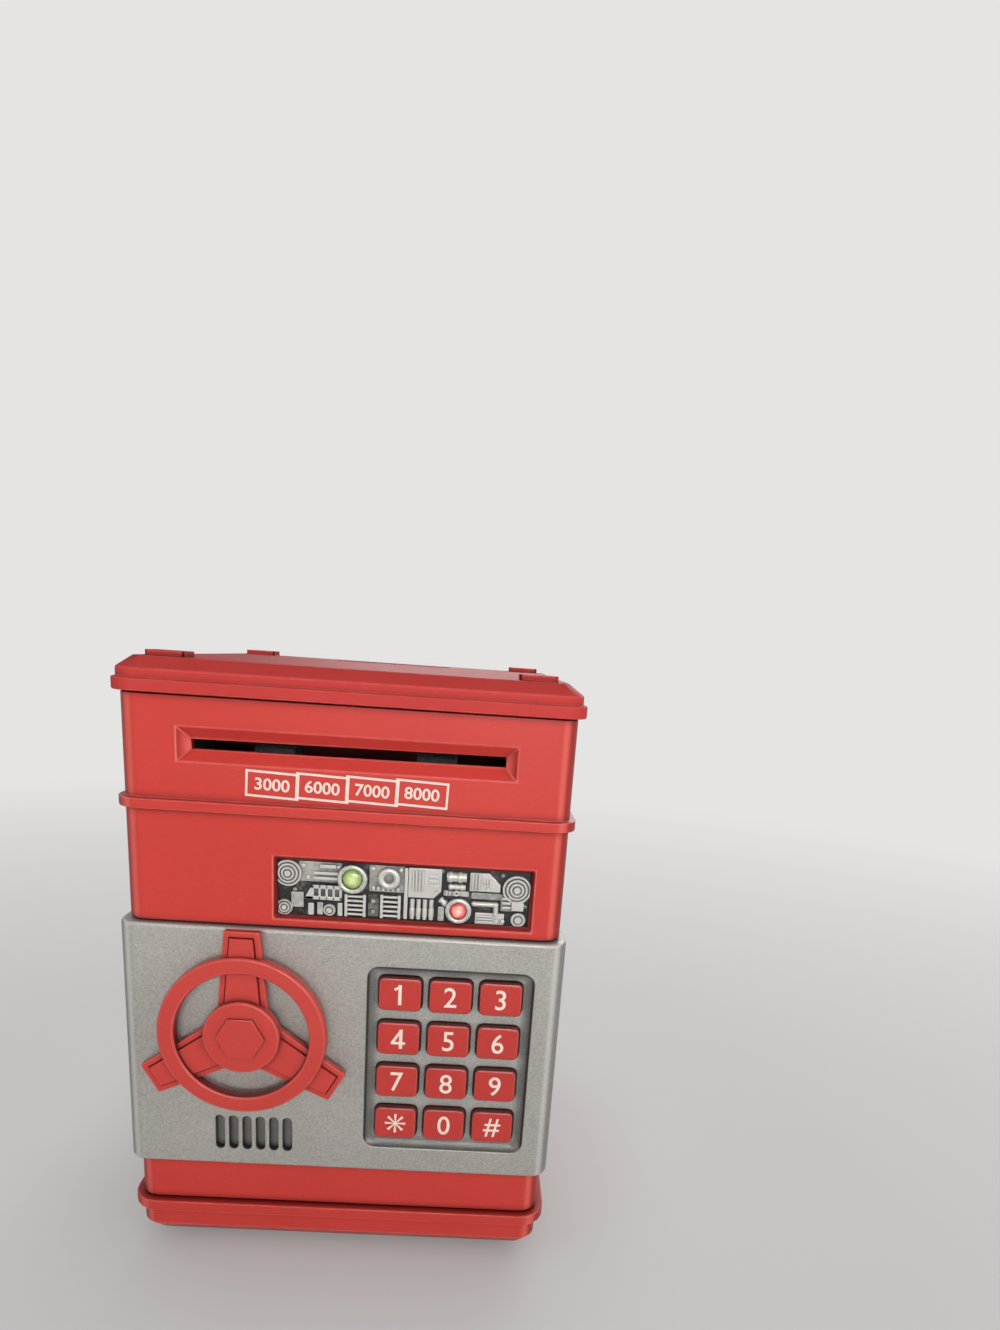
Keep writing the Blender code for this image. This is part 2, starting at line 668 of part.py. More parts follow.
def make_front_shell():
    shell = outline_block(0, HEADER_Z, CASE_TOP_Z)
    fuse(shell, outline_block(RIB_PROUD, RIB_Z, RIB_Z + RIB_HEIGHT))
    cut(shell, outline_block(-WALL, HEADER_Z + LEDGE, CASE_TOP_Z + PAST))
    sill = outline_block(0, CASE_Z, SILL_TOP_Z)
    cut(sill, outline_block(-WALL, CASE_Z - PAST, SILL_TOP_Z - LEDGE))
    behind_seam = ((-REACH, SEAM_Y - SEAM_GAP / 2, -REACH), (REACH, REAR_Y + REACH, REACH))
    cut(shell, box(*behind_seam))
    cut(sill, box(*behind_seam))
    inner_half = CASE_WIDTH / 2 - WALL - SEAT_GAP
    frame = box((-inner_half, SEAM_Y, CASE_Z + FUSE), (inner_half, SEAM_Y + BULKHEAD, BULKHEAD_TOP_Z))
    access_half = CASE_WIDTH / 2 - ACCESS_INSET
    access_low = (-access_half, SEAM_Y - PAST, DOOR_Z + ACCESS_BORDER)
    access_high = (access_half, SEAM_Y + BULKHEAD + PAST, DOOR_TOP_Z - ACCESS_BORDER)
    cut(frame, box(access_low, access_high))
    for low_z, high_z in ((HEADER_Z, HEADER_Z + LEDGE), (SILL_TOP_Z - LEDGE, SILL_TOP_Z)):
        tie_low = (-inner_half, SEAM_Y - HINGE_INSET, low_z)
        tie_high = (inner_half, SEAM_Y + BULKHEAD / 2, high_z)
        fuse(frame, box(tie_low, tie_high))
    fuse(shell, frame)
    fuse(shell, sill)
    add_bill_slot(shell)
    add_window(shell)
    add_hinge_bosses(shell)
    for x, y in case_screw_places():
        if y < CASE_Y:
            boss_top = (x, y, SILL_TOP_Z - LEDGE + FUSE)
            fuse(shell, cylinder(BOSS_RADIUS, (x, y, CASE_Z), boss_top, SMALL_STEPS))
            bore_top = (x, y, CASE_Z + SCREW_BITE + SEAT_GAP)
            cut(shell, cylinder(SCREW_RADIUS + SEAT_GAP, (x, y, CASE_Z - PAST), bore_top, SMALL_STEPS))
    for x in (-feeder_screw_x(), feeder_screw_x()):
        bore_start = (x, SEAM_Y - PAST, feeder_screw_z())
        bore_end = (x, SEAM_Y + BULKHEAD + PAST, feeder_screw_z())
        cut(shell, cylinder(SCREW_RADIUS + SEAT_GAP, bore_start, bore_end, SMALL_STEPS))
    finish(shell, "front_shell", RED)


def add_bill_slot(shell):
    mouth_width = BILL_SLOT_WIDTH + 2 * BILL_MOUTH_MARGIN
    mouth_height = BILL_SLOT_HEIGHT + 2 * BILL_MOUTH_MARGIN
    chute_half = (mouth_width / 2 + BILL_CHUTE_WALL, mouth_height / 2 + BILL_CHUTE_WALL)
    chute_low = (-chute_half[0], FRONT_Y + WALL - FUSE, BILL_Z - chute_half[1])
    chute_high = (chute_half[0], FRONT_Y + BILL_CHUTE_DEPTH, BILL_Z + chute_half[1])
    fuse(shell, box(chute_low, chute_high))
    wide = (mouth_width, mouth_height)
    narrow = (BILL_SLOT_WIDTH, BILL_SLOT_HEIGHT)
    cut(shell, funnel((0, 0, BILL_Z), wide, narrow, 1, FRONT_Y, FRONT_Y + BILL_MOUTH_DEPTH))
    slot_low = (-BILL_SLOT_WIDTH / 2, FRONT_Y, BILL_Z - BILL_SLOT_HEIGHT / 2)
    slot_high = (BILL_SLOT_WIDTH / 2, FRONT_Y + BILL_CHUTE_DEPTH + PAST, BILL_Z + BILL_SLOT_HEIGHT / 2)
    cut(shell, box(slot_low, slot_high))


def add_window(shell):
    middle = (WINDOW_X, 0, WINDOW_Z + WINDOW_HEIGHT / 2)
    wide = (WINDOW_WIDTH, WINDOW_HEIGHT)
    narrow = (WINDOW_WIDTH - 2 * WINDOW_BEVEL, WINDOW_HEIGHT - 2 * WINDOW_BEVEL)
    cut(shell, funnel(middle, wide, narrow, 1, FRONT_Y, FRONT_Y + WINDOW_BEVEL))
    hole_low = (middle[0] - narrow[0] / 2, FRONT_Y, middle[2] - narrow[1] / 2)
    hole_high = (middle[0] + narrow[0] / 2, FRONT_Y + WALL + PAST, middle[2] + narrow[1] / 2)
    cut(shell, box(hole_low, hole_high))
    for x in lamp_post_places():
        post_start = (x, LAMP_BOARD_Y + LAMP_BOARD + SEAT_GAP, middle[2])
        fuse(shell, cylinder(LAMP_POST_RADIUS, post_start, (x, SEAM_Y + BULKHEAD / 2, middle[2])))


def lamp_post_places():
    span = WINDOW_WIDTH / 2 - LAMP_BOARD_MARGIN - 2 * LAMP_POST_RADIUS
    return WINDOW_X - span, WINDOW_X + span


def add_hinge_bosses(shell):
    boss_x = (HINGE_X - HINGE_BOSS, CASE_WIDTH / 2 - WALL + FUSE)
    boss_y = (HINGE_Y - HINGE_BOSS, HINGE_Y + HINGE_BOSS)
    upper_z = (HEADER_Z + LEDGE - FUSE, HEADER_Z + PIN_BITE + PAST)
    lower_z = (SILL_TOP_Z - PIN_BITE - PAST, SILL_TOP_Z - LEDGE + FUSE)
    for low_z, high_z in (upper_z, lower_z):
        fuse(shell, box((boss_x[0], boss_y[0], low_z), (boss_x[1], boss_y[1], high_z)))
    bore = PIN_RADIUS + SEAT_GAP
    for low_z, high_z in ((HEADER_Z - PAST, HEADER_Z + PIN_BITE), (SILL_TOP_Z - PIN_BITE, SILL_TOP_Z + PAST)):
        cut(shell, cylinder(bore, (HINGE_X, HINGE_Y, low_z), (HINGE_X, HINGE_Y, high_z)))


def make_top_cover():
    cover = outline_block(LIP_PROUD, LID_Z, LID_Z + LIP_HEIGHT)
    crown_low = (-CASE_WIDTH / 2 - LID_BAND_PROUD, FRONT_Y - LID_BAND_PROUD, LID_Z + FUSE)
    crown_high = (CASE_WIDTH / 2 + LID_BAND_PROUD, REAR_Y + LID_BAND_PROUD, LID_TOP_Z)
    crown_corner = CASE_CORNER + LID_BAND_PROUD
    crown = beveled_box(crown_low, crown_high, crown_corner, 2, LID_TOP_Z, LID_BEVEL_WIDTH, LID_BEVEL_HEIGHT)
    fuse(cover, crown)
    skirt = -WALL - SEAT_GAP
    fuse(cover, outline_block(skirt, LID_Z - SKIRT_DEPTH, LID_Z + FUSE))
    cut(cover, outline_block(skirt - SKIRT_WALL, LID_Z - SKIRT_DEPTH - PAST, LID_TOP_Z - LID_WALL))
    for x, y in four_corners(LUG_SIDE_INSET, LUG_END_INSET):
        lug_low = (x - LUG_WIDTH / 2, y - LUG_DEPTH / 2, LID_TOP_Z - FUSE)
        lug_high = (x + LUG_WIDTH / 2, y + LUG_DEPTH / 2, LID_TOP_Z + LUG_HEIGHT)
        fuse(cover, box(lug_low, lug_high, LUG_CORNER))
    slot_y = REAR_Y - COIN_SLOT_INSET
    mouth = (COIN_SLOT_LENGTH + 2 * COIN_MOUTH_MARGIN, COIN_SLOT_WIDTH + 2 * COIN_MOUTH_MARGIN)
    chute_z = LID_TOP_Z - COIN_MOUTH_DEPTH - LID_WALL
    chute_low = (-mouth[0] / 2 - LID_WALL, slot_y - mouth[1] / 2 - LID_WALL, chute_z)
    chute_high = (mouth[0] / 2 + LID_WALL, slot_y + mouth[1] / 2 + LID_WALL, LID_TOP_Z - LID_WALL + FUSE)
    fuse(cover, box(chute_low, chute_high))
    slot = (COIN_SLOT_LENGTH, COIN_SLOT_WIDTH)
    cut(cover, funnel((0, slot_y, 0), mouth, slot, 2, LID_TOP_Z, LID_TOP_Z - COIN_MOUTH_DEPTH))
    slot_low = (-slot[0] / 2, slot_y - slot[1] / 2, chute_z - PAST)
    slot_high = (slot[0] / 2, slot_y + slot[1] / 2, LID_TOP_Z)
    cut(cover, box(slot_low, slot_high))
    finish(cover, "top_cover", RED)


# Door
def make_door_shell(door_pivot):
    def fill(build):
        fill_box(build, (-DOOR_HALF, DOOR_FRONT_Y, DOOR_Z), (DOOR_HALF, DOOR_REAR_Y, DOOR_TOP_Z))
        middle_y = (DOOR_FRONT_Y + DOOR_REAR_Y) / 2
        front = edges_along(build, 2, lambda middle: middle.y < middle_y)
        round_edges(build, front, DOOR_CORNER)
        barrel = edges_along(build, 2, lambda middle: middle.y > middle_y and middle.x > 0)
        round_edges(build, barrel, HINGE_INSET, 2 * CORNER_STEPS)
        for level in (DOOR_Z, DOOR_TOP_Z):
            round_edges(build, level_edges(build, 2, level), DOOR_EDGE, 2)

    shell = shape(fill)
    inside_z = (DOOR_Z + DOOR_WALL, DOOR_TOP_Z - DOOR_WALL)
    left_x = -DOOR_HALF + DOOR_WALL
    split_x = keypad_low_x()
    left_low = (left_x, DOOR_FRONT_Y + DOOR_FACE, inside_z[0])
    left_high = (split_x + FUSE, DOOR_REAR_Y + PAST, inside_z[1])
    cut(shell, box(left_low, left_high))
    right_low = (split_x, FLOOR_REAR_Y, inside_z[0])
    right_high = (BARREL_X, DOOR_REAR_Y + PAST, inside_z[1])
    cut(shell, box(right_low, right_high))
    key_half_z = KEY_SPAN_Z / 2 + KEY_FLANGE_MARGIN + KEY_FLANGE
    edge_x = KEYPAD_X + KEY_SPAN_X / 2 + KEY_FLANGE_MARGIN + KEY_FLANGE
    edge_low = (BARREL_X - FUSE, FLOOR_REAR_Y, KEYPAD_Z - key_half_z)
    edge_high = (edge_x, FLANGE_REAR_Y + KEY_TRAVEL + SEAT_GAP, KEYPAD_Z + key_half_z)
    cut(shell, box(edge_low, edge_high))
    cut_keypad(shell)
    for index in range(GRILLE_SLOTS):
        x = SPEAKER_X + (index - (GRILLE_SLOTS - 1) / 2) * GRILLE_PITCH
        cut(shell, grille_slot(x))
    shaft_start = (WHEEL_X, DOOR_FRONT_Y - PAST, WHEEL_Z)
    shaft_end = (WHEEL_X, DOOR_FRONT_Y + DOOR_FACE + PAST, WHEEL_Z)
    cut(shell, cylinder(SHAFT_RADIUS + RUNNING_GAP, shaft_start, shaft_end))
    for x, z in liner_screw_places():
        post_end = (x, LINER_FRONT_Y - SEAT_GAP, z)
        fuse(shell, cylinder(SCREW_HEAD_RADIUS, (x, DOOR_FRONT_Y + DOOR_FACE / 2, z), post_end, SMALL_STEPS))
        bore_start = (x, LINER_REAR_Y - SCREW_BITE - SEAT_GAP, z)
        cut(shell, cylinder(SCREW_RADIUS + SEAT_GAP, bore_start, (x, DOOR_REAR_Y, z), SMALL_STEPS))
    for x, z in board_post_places():
        post_start = (x, FLOOR_REAR_Y - FUSE, z)
        fuse(shell, cylinder(POST_RADIUS, post_start, (x, BOARD_FRONT_Y - SEAT_GAP, z), SMALL_STEPS))
    for low_z, high_z in ((DOOR_Z - PAST, DOOR_Z + PIN_BITE), (DOOR_TOP_Z - PIN_BITE, DOOR_TOP_Z + PAST)):
        bore = PIN_RADIUS + RUNNING_GAP
        cut(shell, cylinder(bore, (HINGE_X, HINGE_Y, low_z), (HINGE_X, HINGE_Y, high_z)))
    finish(shell, "door_shell", SILVER, door_pivot, door_pivot["pivot"])


def keypad_low_x():
    """Left edge of the thick floor behind the keypad."""
    return KEYPAD_X - KEY_SPAN_X / 2 - KEYPAD_MARGIN - KEYPAD_FLOOR


def cut_keypad(shell):
    half_x = KEY_SPAN_X / 2 + KEYPAD_MARGIN
    half_z = KEY_SPAN_Z / 2 + KEYPAD_MARGIN
    floor_y = DOOR_FRONT_Y + KEYPAD_DEPTH
    low = (KEYPAD_X - half_x, DOOR_FRONT_Y - PAST, KEYPAD_Z - half_z)
    high = (KEYPAD_X + half_x, floor_y, KEYPAD_Z + half_z)
    slope_share = (KEYPAD_DEPTH + PAST) / KEYPAD_DEPTH
    spread = KEYPAD_SLOPE * (slope_share - 1)
    low = (low[0] - spread, low[1], low[2] - spread)
    high = (high[0] + spread, high[1], high[2] + spread)
    corner = KEYPAD_CORNER + spread
    slope = KEYPAD_SLOPE + spread
    cut(shell, beveled_box(low, high, corner, 1, floor_y, min(slope, corner - FUSE), KEYPAD_DEPTH + PAST))
    for _, x, z in key_places():
        hole_x = KEY_WIDTH / 2 + RUNNING_GAP
        hole_z = KEY_HEIGHT / 2 + RUNNING_GAP
        hole_low = (x - hole_x, DOOR_FRONT_Y, z - hole_z)
        hole_high = (x + hole_x, FLOOR_REAR_Y + PAST / 2, z + hole_z)
        cut(shell, box(hole_low, hole_high, KEY_CORNER + RUNNING_GAP, 1, KEY_CORNER_STEPS))


def grille_slot(x):
    half_x = GRILLE_SLOT_WIDTH / 2
    half_z = GRILLE_SLOT_HEIGHT / 2
    low = (x - half_x, DOOR_FRONT_Y - PAST, SPEAKER_Z - half_z)
    high = (x + half_x, DOOR_FRONT_Y + DOOR_FACE + PAST, SPEAKER_Z + half_z)
    return box(low, high, GRILLE_CORNER, 1)


def key_places():
    """Each key's name and centre."""
    for row, names in enumerate(KEY_NAMES):
        for column, name in enumerate(names):
            yield name, KEYPAD_X + (column - 1) * KEY_PITCH_X, KEYPAD_Z + (1.5 - row) * KEY_PITCH_Z


def liner_screw_places():
    for x in (-DOOR_HALF + DOOR_WALL + LINER_SCREW_INSET, keypad_low_x() - LINER_SCREW_INSET):
        for z in (DOOR_Z + DOOR_WALL + LINER_SCREW_INSET, DOOR_TOP_Z - DOOR_WALL - LINER_SCREW_INSET):
            yield x, z


def board_span():
    """Low and high corners of the key board, as (x, z)."""
    low_x = keypad_low_x() + SEAT_GAP
    half_z = KEY_SPAN_Z / 2 + KEY_FLANGE_MARGIN + BOARD_BORDER
    return (low_x, KEYPAD_Z - half_z), (BARREL_X - SEAT_GAP, KEYPAD_Z + half_z)


def board_post_places():
    low, high = board_span()
    inset = POST_RADIUS + SEAT_GAP
    for x in (low[0] + 2 * inset, (low[0] + high[0]) / 2):
        for z in (low[1] + inset, high[1] - inset):
            yield x, z


def make_door_liner(door_pivot):
    low = (-DOOR_HALF + DOOR_WALL + SEAT_GAP, LINER_FRONT_Y, DOOR_Z + DOOR_WALL + SEAT_GAP)
    high = (BARREL_X - SEAT_GAP, LINER_REAR_Y, DOOR_TOP_Z - DOOR_WALL - SEAT_GAP)
    liner = box(low, high)
    shaft_start = (WHEEL_X, LINER_FRONT_Y - PAST, WHEEL_Z)
    shaft_end = (WHEEL_X, LINER_REAR_Y + PAST, WHEEL_Z)
    cut(liner, cylinder(SHAFT_RADIUS + RUNNING_GAP, shaft_start, shaft_end))
    x, z = lock_place()
    bore_start = (x, LINER_FRONT_Y - PAST, z)
    cut(liner, cylinder(PLUNGER_RADIUS + RUNNING_GAP, bore_start, (x, LINER_REAR_Y + PAST, z), SMALL_STEPS))
    for x, z in liner_screw_places():
        hole_start = (x, LINER_FRONT_Y - PAST, z)
        cut(liner, cylinder(SCREW_RADIUS + SEAT_GAP, hole_start, (x, LINER_REAR_Y + PAST, z), SMALL_STEPS))
    for x, z in board_post_places():
        post_start = (x, BOARD_FRONT_Y + BOARD_THICKNESS + SEAT_GAP, z)
        fuse(liner, cylinder(POST_RADIUS, post_start, (x, LINER_FRONT_Y + FUSE, z), SMALL_STEPS))
    rest_y = DOOR_FRONT_Y + DOOR_FACE + SPEAKER_DEPTH + 2 * SEAT_GAP
    rest_x = SPEAKER_REST_WIDTH / 2
    rest_z = SPEAKER_REST_HEIGHT / 2
    rest_low = (SPEAKER_X - rest_x, rest_y, SPEAKER_Z - rest_z)
    fuse(liner, box(rest_low, (SPEAKER_X + rest_x, LINER_FRONT_Y + FUSE, SPEAKER_Z + rest_z)))
    finish(liner, "door_liner", GREY, door_pivot, door_pivot["pivot"])


def make_hinge_pins():
    for name, middle_z in (("hinge_pin_lower", SILL_TOP_Z), ("hinge_pin_upper", HEADER_Z)):
        low = (HINGE_X, HINGE_Y, middle_z - PIN_BITE + 2 * SEAT_GAP)
        high = (HINGE_X, HINGE_Y, middle_z + PIN_BITE - 2 * SEAT_GAP)
        finish(cylinder(PIN_RADIUS, low, high), name, STEEL)


# Hand wheel and lock
def spoke_outline(inset):
    """One spoke along +Y from the wheel's centre, drawn in from its edges."""
    root = SPOKE_ROOT_WIDTH / 2 - inset
    end = SPOKE_END_WIDTH / 2 - inset
    top = SPOKE_LENGTH - inset
    return [(-root, 0.0), (root, 0.0), (root, HUB_RADIUS), (end, top), (-end, top), (-root, HUB_RADIUS)]


def make_hand_wheel(wheel_pivot):
    front = facing_front(WHEEL_X, DOOR_FRONT_Y, WHEEL_Z)
    inner = RING_RADIUS - RING_WIDTH
    edge = RING_FRONT - RING_EDGE
    ring = [
        (inner, edge), (inner + RING_EDGE, RING_FRONT), (RING_RADIUS - RING_EDGE, RING_FRONT),
        (RING_RADIUS, edge), (RING_RADIUS, RING_BACK), (inner, RING_BACK), (inner, edge),
    ]
    wheel = turned(ring, 2 * ROUND_STEPS)
    for index in range(SPOKE_COUNT):
        turn = Matrix.Rotation(2 * math.pi * index / SPOKE_COUNT, 4, "Z")
        lift = Matrix.Translation((0, 0, (SPOKE_FRONT + SPOKE_BACK) / 2))
        fuse(wheel, placed(plate(spoke_outline(0), SPOKE_FRONT - SPOKE_BACK), turn @ lift))
        lift = Matrix.Translation((0, 0, SPOKE_FRONT))
        fuse(wheel, placed(plate(spoke_outline(SPOKE_PANEL_INSET), 2 * SPOKE_PANEL_RISE), turn @ lift))
    fuse(wheel, cylinder(HUB_RADIUS, (0, 0, HUB_BACK), (0, 0, HUB_FRONT), 2 * ROUND_STEPS))
    fuse(wheel, cylinder(HEX_RADIUS, (0, 0, HUB_BACK + FUSE), (0, 0, HUB_FRONT + HEX_RISE), 6))
    shaft_end = DOOR_FRONT_Y - ARM_FRONT_Y + SEAT_GAP
    spigot_end = DOOR_FRONT_Y - ARM_REAR_Y + SEAT_GAP
    fuse(wheel, cylinder(SHAFT_RADIUS, (0, 0, HUB_BACK + FUSE), (0, 0, shaft_end)))
    fuse(wheel, cylinder(SPIGOT_RADIUS, (0, 0, shaft_end + FUSE), (0, 0, spigot_end), SMALL_STEPS))
    bore_top = spigot_end + SCREW_BITE
    cut(wheel, cylinder(SCREW_RADIUS + SEAT_GAP, (0, 0, bore_top), (0, 0, spigot_end - PAST), SMALL_STEPS))
    fuse(wheel, cylinder(COLLAR_RADIUS, (0, 0, RUNNING_GAP), (0, 0, HUB_BACK + FUSE)))
    finish(placed(wheel, front), "hand_wheel", RED, wheel_pivot, wheel_pivot["pivot"])


def make_latch_arm(wheel_pivot):
    middle_y = (ARM_FRONT_Y + ARM_REAR_Y) / 2
    half = ARM_WIDTH / 2
    arm = plate([(0, -half), (ARM_LENGTH, -half), (ARM_LENGTH, half), (0, half)], ARM_THICKNESS)
    arm.data.transform(Matrix.Rotation(math.radians(ARM_REST_ANGLE), 4, "Z"))
    fuse(arm, cylinder(ARM_HUB_RADIUS, (0, 0, -ARM_THICKNESS / 2), (0, 0, ARM_THICKNESS / 2)))
    bore = SPIGOT_RADIUS + SEAT_GAP
    cut(arm, cylinder(bore, (0, 0, -ARM_THICKNESS), (0, 0, ARM_THICKNESS), SMALL_STEPS))
    placed(arm, facing_front(WHEEL_X, middle_y, WHEEL_Z))
    finish(arm, "latch_arm", GREY, wheel_pivot, wheel_pivot["pivot"])
    head = (WHEEL_X, ARM_REAR_Y + SEAT_GAP, WHEEL_Z)
    made = cylinder(LATCH_HEAD_RADIUS, head, (WHEEL_X, ARM_REAR_Y + SEAT_GAP + SCREW_HEAD, WHEEL_Z))
    shank_end = (WHEEL_X, ARM_REAR_Y - SCREW_BITE + 2 * SEAT_GAP, WHEEL_Z)
    shank_start = (WHEEL_X, ARM_REAR_Y + SEAT_GAP + FUSE, WHEEL_Z)
    fuse(made, cylinder(SCREW_RADIUS, shank_start, shank_end, SMALL_STEPS))
    finish(made, "latch_screw", STEEL, wheel_pivot, wheel_pivot["pivot"])


def lock_place():
    angle = math.radians(LOCK_ANGLE)
    return WHEEL_X + LOCK_RADIUS * math.cos(angle), WHEEL_Z + LOCK_RADIUS * math.sin(angle)


def make_lock(door_pivot):
    x, z = lock_place()
    coil_front = DOOR_FRONT_Y + DOOR_FACE + SEAT_GAP
    coil_rear = LINER_FRONT_Y - SEAT_GAP
    coil_low = (x - COIL_WIDTH / 2, coil_front, z - COIL_HEIGHT / 2)
    coil_high = (x + COIL_WIDTH / 2, coil_rear, z + COIL_HEIGHT / 2)
    coil = box(coil_low, coil_high)
    tip_y = DOOR_REAR_Y - PLUNGER_SETBACK
    tail_y = tip_y - PLUNGER_LENGTH
    bore_start = (x, tail_y - SEAT_GAP, z)
    cut(coil, cylinder(PLUNGER_RADIUS + RUNNING_GAP, bore_start, (x, coil_rear + PAST, z), SMALL_STEPS))
    finish(coil, "lock_solenoid", BLACK, door_pivot, door_pivot["pivot"])
    plunger = cylinder(PLUNGER_RADIUS, (x, tail_y, z), (x, tip_y, z), SMALL_STEPS)
    finish(plunger, "lock_plunger", STEEL, door_pivot, (x, tip_y, z))


# Keypad and speaker
def make_keys(door_pivot):
    front_y = DOOR_FRONT_Y + KEY_SINK
    flange_y = FLOOR_REAR_Y + SEAT_GAP
    for name, x, z in key_places():
        low = (x - KEY_WIDTH / 2, front_y, z - KEY_HEIGHT / 2)
        high = (x + KEY_WIDTH / 2, flange_y + FUSE, z + KEY_HEIGHT / 2)
        key = beveled_box(low, high, KEY_CORNER, 1, front_y, KEY_BEVEL, KEY_BEVEL, KEY_CORNER_STEPS)
        margin = KEY_FLANGE_MARGIN
        flange_low = (low[0] - margin, flange_y, low[2] - margin)
        flange_high = (high[0] + margin, FLANGE_REAR_Y, high[2] + margin)
        fuse(key, box(flange_low, flange_high))
        finish(key, "key_" + name, RED, door_pivot, (x, front_y, z))


def make_key_switches(door_pivot):
    low, high = board_span()
    mat_half_x = KEY_PITCH_X + DOME_RADIUS + DOME_HEIGHT
    mat_rear = MAT_FRONT_Y + MAT_THICKNESS
    mat_low = (KEYPAD_X - mat_half_x, MAT_FRONT_Y, KEYPAD_Z - KEY_SPAN_Z / 2)
    mat = box(mat_low, (KEYPAD_X + mat_half_x, mat_rear, KEYPAD_Z + KEY_SPAN_Z / 2))
    for _, x, z in key_places():
        top = (x, MAT_FRONT_Y - DOME_HEIGHT, z)
        fuse(mat, cylinder(DOME_RADIUS, top, (x, MAT_FRONT_Y + MAT_THICKNESS / 2, z), SMALL_STEPS))
    finish(mat, "keypad_mat", RUBBER, door_pivot, door_pivot["pivot"])
    board_rear = BOARD_FRONT_Y + BOARD_THICKNESS
    board = box((low[0], BOARD_FRONT_Y, low[1]), (high[0], board_rear, high[1]))
    chip_rise = (LINER_FRONT_Y - board_rear) / 2
    chip_low = (KEYPAD_X - KEY_PITCH_X / 2, board_rear - FUSE, KEYPAD_Z - KEY_PITCH_Z / 2)
    chip_high = (KEYPAD_X + KEY_PITCH_X / 2, board_rear + chip_rise, KEYPAD_Z + KEY_PITCH_Z / 2)
    fuse(board, box(chip_low, chip_high))
    finish(board, "keypad_board", BOARD, door_pivot, door_pivot["pivot"])


def make_speaker(door_pivot):
    half_x = (GRILLE_SLOTS - 1) / 2 * GRILLE_PITCH + GRILLE_SLOT_WIDTH / 2 + SPEAKER_MARGIN
    half_z = GRILLE_SLOT_HEIGHT / 2 + SPEAKER_MARGIN
    front_y = DOOR_FRONT_Y + DOOR_FACE + SEAT_GAP
    low = (SPEAKER_X - half_x, front_y, SPEAKER_Z - half_z)
    high = (SPEAKER_X + half_x, front_y + SPEAKER_DEPTH, SPEAKER_Z + half_z)
    speaker = box(low, high, SPEAKER_CORNER, 1)
    finish(speaker, "speaker", GREY, door_pivot, door_pivot["pivot"])


# Window machinery
# Places are in mm from the window's left and lower edges or, below zero, from its right and upper edges.
RELIEF_BLOCKS = (
    # across, up, width, height and rise
    (2.5, 2.4, 7.5, 8.5, 1.3), (11.0, 2.4, 6.0, 3.6, 0.9), (11.0, -6.6, 6.5, 4.2, 1.2),
    (2.5, -6.8, 7.0, 4.4, 0.8), (28.5, -7.8, 9.5, 5.4, 1.2), (-36.5, -9.6, 4.5, 7.2, 0.8),
    (30.0, 2.4, 12.0, 3.0, 0.9), (-15.5, 2.4, 6.0, 6.4, 1.1), (-8.2, 2.4, 5.6, 11.0, 1.3),
    (-30.0, -6.0, 15.0, 3.6, 1.0), (-13.5, -8.8, 4.0, 6.4, 0.7),
)
RELIEF_DISCS = (
    # across, up, radius and rise
    (6.2, 6.6, 3.1, 1.6), (24.5, 5.4, 3.4, 1.3), (33.2, -5.1, 2.2, 1.6), (-29.2, 5.6, 3.0, 1.2),
    (-22.5, -4.2, 1.4, 1.5), (-5.4, -4.2, 1.7, 1.4), (17.6, 9.6, 1.8, 1.1),
)


def in_window(across, up):
    x = (WINDOW_LEFT_X if across > 0 else WINDOW_RIGHT_X) + across * MM
    z = (WINDOW_Z if up > 0 else WINDOW_TOP_Z) + up * MM
    return x, z


def lamp_list():
    green = Vector((WINDOW_LEFT_X + GREEN_LAMP_LEFT, 0, WINDOW_TOP_Z - GREEN_LAMP_DROP))
    red = Vector((WINDOW_RIGHT_X - RED_LAMP_RIGHT, 0, WINDOW_Z + RED_LAMP_RISE))
    return ("green_lamp", green, GREEN_LAMP_RADIUS, GREEN_LENS), ("red_lamp", red, RED_LAMP_RADIUS, RED_LENS)


def make_machine_panel():
    low = (WINDOW_LEFT_X - RELIEF_MARGIN, RELIEF_FRONT_Y, HEADER_Z + LEDGE + SEAT_GAP)
    high = (WINDOW_RIGHT_X + RELIEF_MARGIN, RELIEF_REAR_Y, WINDOW_TOP_Z + RELIEF_MARGIN)
    panel = box(low, high)
    back_y = RELIEF_FRONT_Y + RELIEF_PLATE / 2
    for across, up, width, height, rise in RELIEF_BLOCKS:
        x, z = in_window(across, up)
        block_low = (x, RELIEF_FRONT_Y - rise * MM, z)
        fuse(panel, box(block_low, (x + width * MM, back_y, z + height * MM)))
    for across, up, radius, rise in RELIEF_DISCS:
        x, z = in_window(across, up)
        fuse(panel, cylinder(radius * MM, (x, RELIEF_FRONT_Y - rise * MM, z), (x, back_y, z), SMALL_STEPS))
    for _, place, radius, _ in lamp_list():
        front = (place.x, RELIEF_FRONT_Y - RELIEF_RISE, place.z)
        fuse(panel, cylinder(radius + BEZEL_WIDTH, front, (place.x, back_y, place.z)))
        bore_start = (place.x, RELIEF_FRONT_Y - RELIEF_RISE - PAST, place.z)
        cut(panel, cylinder(radius + SEAT_GAP, bore_start, (place.x, RELIEF_REAR_Y + PAST, place.z)))
    finish(panel, "machine_panel", SILVER)


